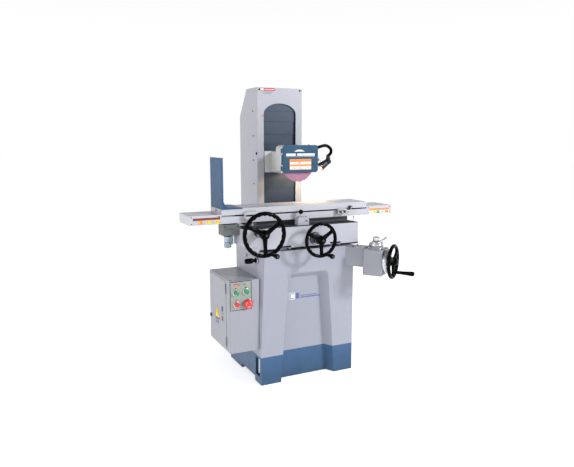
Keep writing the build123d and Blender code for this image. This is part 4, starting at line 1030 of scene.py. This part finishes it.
# ------------ work lamp
def work_lamp():
    """Ribbed flexible arm, switch housing and a finned shade with its bulb."""
    points = [mm(x, -25, z) for x, z in ((131, 1337), (158, 1345), (203, 1353), (236, 1334), (238, 1309),
        (222, 1293))]
    path = curve_through(points, 97)
    radii = [0.0096 if k % 2 else 0.0084 for k in range(97)]
    arm = Piece("lamp_gooseneck", "head", "black_enamel", "black", "chrome")
    arm.tube(path, radii, 0, 20, 1.0, Vector((0, 1, 0)))
    socket = facing(mm(123, -25, 1337), (1, 0, 0))
    arm.lathe(socket, pairs(0, 0, 16, 0, 16.4, 1.5, 16.4, 6.8, 15, 8.2, 11.8, 9, 11.2, 15, 0, 15.5), 0,
        40)
    arm.build("lamp_arm")
    head = Piece("lamp_shade", "lamp", "lamp_enamel", "dark", "chrome", "bulb", "marking")
    axis = Vector((-0.85, 0, -0.53)).normalized()
    where = facing(mm(225, -25, 1263), axis, (0, 1, 0))
    outer = pairs(0, -8, 12, -7.6, 15.8, -4)
    for k in range(5):
        z = -0.001 + 0.0045 * k
        outer += [(0.0185, z), (0.0185, z + 0.0018), (0.0164, z + 0.0022), (0.0164, z + 0.004)]
    outer += pairs(19, 22.5, 20.5, 30, 23.2, 52, 24.6, 64, 25, 66, 23.6, 66.2, 22.2, 62.5, 18.2, 40, 14,
        23.5, 0, 23)
    head.lathe(where, outer, 0, 56)
    head.lathe(where, pairs(0, 23.2, 8.5, 23.2, 8.5, 29, 0, 29), 1, 32)
    head.lathe(where, pairs(7, 29, 10.5, 35, 12, 43, 10.5, 51, 6, 55, 0, 56), 2, 32)
    pivot = facing(mm(220, -25, 1290), (0, 1, 0), (1, 0, 0))
    head.lathe(pivot, pairs(0, -4.2, 11.5, -4, 12, -3, 12, 3, 11.5, 4, 0, 4.2), 0, 32)
    head.slab(facing(mm(220, -25, 1277), UP, (1, 0, 0)), (-0.009, 0.009), (-0.0125, 0.0125),
        (-0.014, 0.006), 0, 0.002)
    head.build("lamp_head")
    glow = bpy.data.lights.new("lamp_glow", "SPOT")
    glow.energy = 5.5
    glow.color = (1.0, 0.72, 0.4)
    glow.spot_size = math.radians(150)
    glow.spot_blend = 0.9
    glow.shadow_soft_size = 0.02
    source = bpy.data.objects.new("lamp_glow", glow)
    source.location = mm(170, -25, 1222)
    source.rotation_euler = Vector((-0.35, 0.45, -0.75)).to_track_quat("-Z", "Y").to_euler()
    bpy.context.scene.collection.objects.link(source)
    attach(source, "lamp")


work_lamp()


# ------------ stage, light and camera
ZENITH = 0.25
FLOOR_GLOW = 0.56
FLOOR = (-30, 30, -9, 60)
MACHINE_MIDDLE = (0, 0, 0.85)
CAMERA_PLACE = (-1.5131, -3.0429, 1.3814)
CAMERA_TURN, CAMERA_PITCH = -25.8, -9.2
LENS, SENSOR = 35.92, 36


def stage():
    """Pale floor with a little glow of its own, under a studio tent that is dimmer overhead."""
    data = bpy.data.meshes.new("floor")
    x0, x1, y0, y1 = FLOOR
    data.from_pydata([(x0, y0, 0), (x1, y0, 0), (x1, y1, 0), (x0, y1, 0)], [], [(0, 1, 2, 3)])
    floor = bpy.data.objects.new("floor", data)
    bpy.context.scene.collection.objects.link(floor)
    n = Nodes("pale_floor")
    n.shader.inputs["Emission Color"].default_value = (1, 1, 1, 1)
    n.shader.inputs["Emission Strength"].default_value = FLOOR_GLOW
    data.materials.append(n.done(n.mix(n.noise(1.5, 2), (0.93, 0.93, 0.935), (0.95, 0.95, 0.95)), 0.8))
    world = bpy.data.worlds.new("studio")
    world.use_nodes = True
    tree = world.node_tree
    place = tree.nodes.new("ShaderNodeTexCoord")
    split = tree.nodes.new("ShaderNodeSeparateXYZ")
    fade = tree.nodes.new("ShaderNodeMapRange")
    fade.interpolation_type = "SMOOTHSTEP"
    for socket, value in zip(("From Min", "From Max", "To Min", "To Max"), (0.15, 0.85, 1.0, ZENITH)):
        fade.inputs[socket].default_value = value
    back = tree.nodes["Background"]
    back.inputs["Color"].default_value = (1.0, 1.0, 1.0, 1)
    tree.links.new(place.outputs["Generated"], split.inputs["Vector"])
    tree.links.new(split.outputs["Z"], fade.inputs["Value"])
    tree.links.new(fade.outputs["Result"], back.inputs["Strength"])
    bpy.context.scene.world = world


def area(name, place, aim, size, power, color):
    data = bpy.data.lights.new(name, "AREA")
    data.shape = "RECTANGLE"
    data.size, data.size_y = size
    data.energy = power
    data.color = color
    lamp = bpy.data.objects.new(name, data)
    lamp.location = place
    lamp.rotation_euler = (Vector(aim) - Vector(place)).to_track_quat("-Z", "Y").to_euler()
    bpy.context.scene.collection.objects.link(lamp)
    return lamp


stage()
area("key_right", (3.4, -4.5, 3.4), MACHINE_MIDDLE, (0.8, 0.8), 260, (0.96, 0.98, 1.0))
area("left_fill", (-4.6, -1.0, 1.6), (0, 0, 0.9), (1.8, 1.8), 60, (1.0, 0.98, 0.96))

scene = bpy.context.scene
scene.view_settings.view_transform = "Standard"
camera_data = bpy.data.cameras.new("camera")
camera_data.sensor_width = SENSOR
camera_data.lens = LENS
camera_data.clip_end = 100
camera = bpy.data.objects.new("camera", camera_data)
camera.location = CAMERA_PLACE
camera.rotation_euler = (math.radians(90 + CAMERA_PITCH), 0, math.radians(CAMERA_TURN))
scene.collection.objects.link(camera)
scene.camera = camera

bpy.context.view_layer.update()
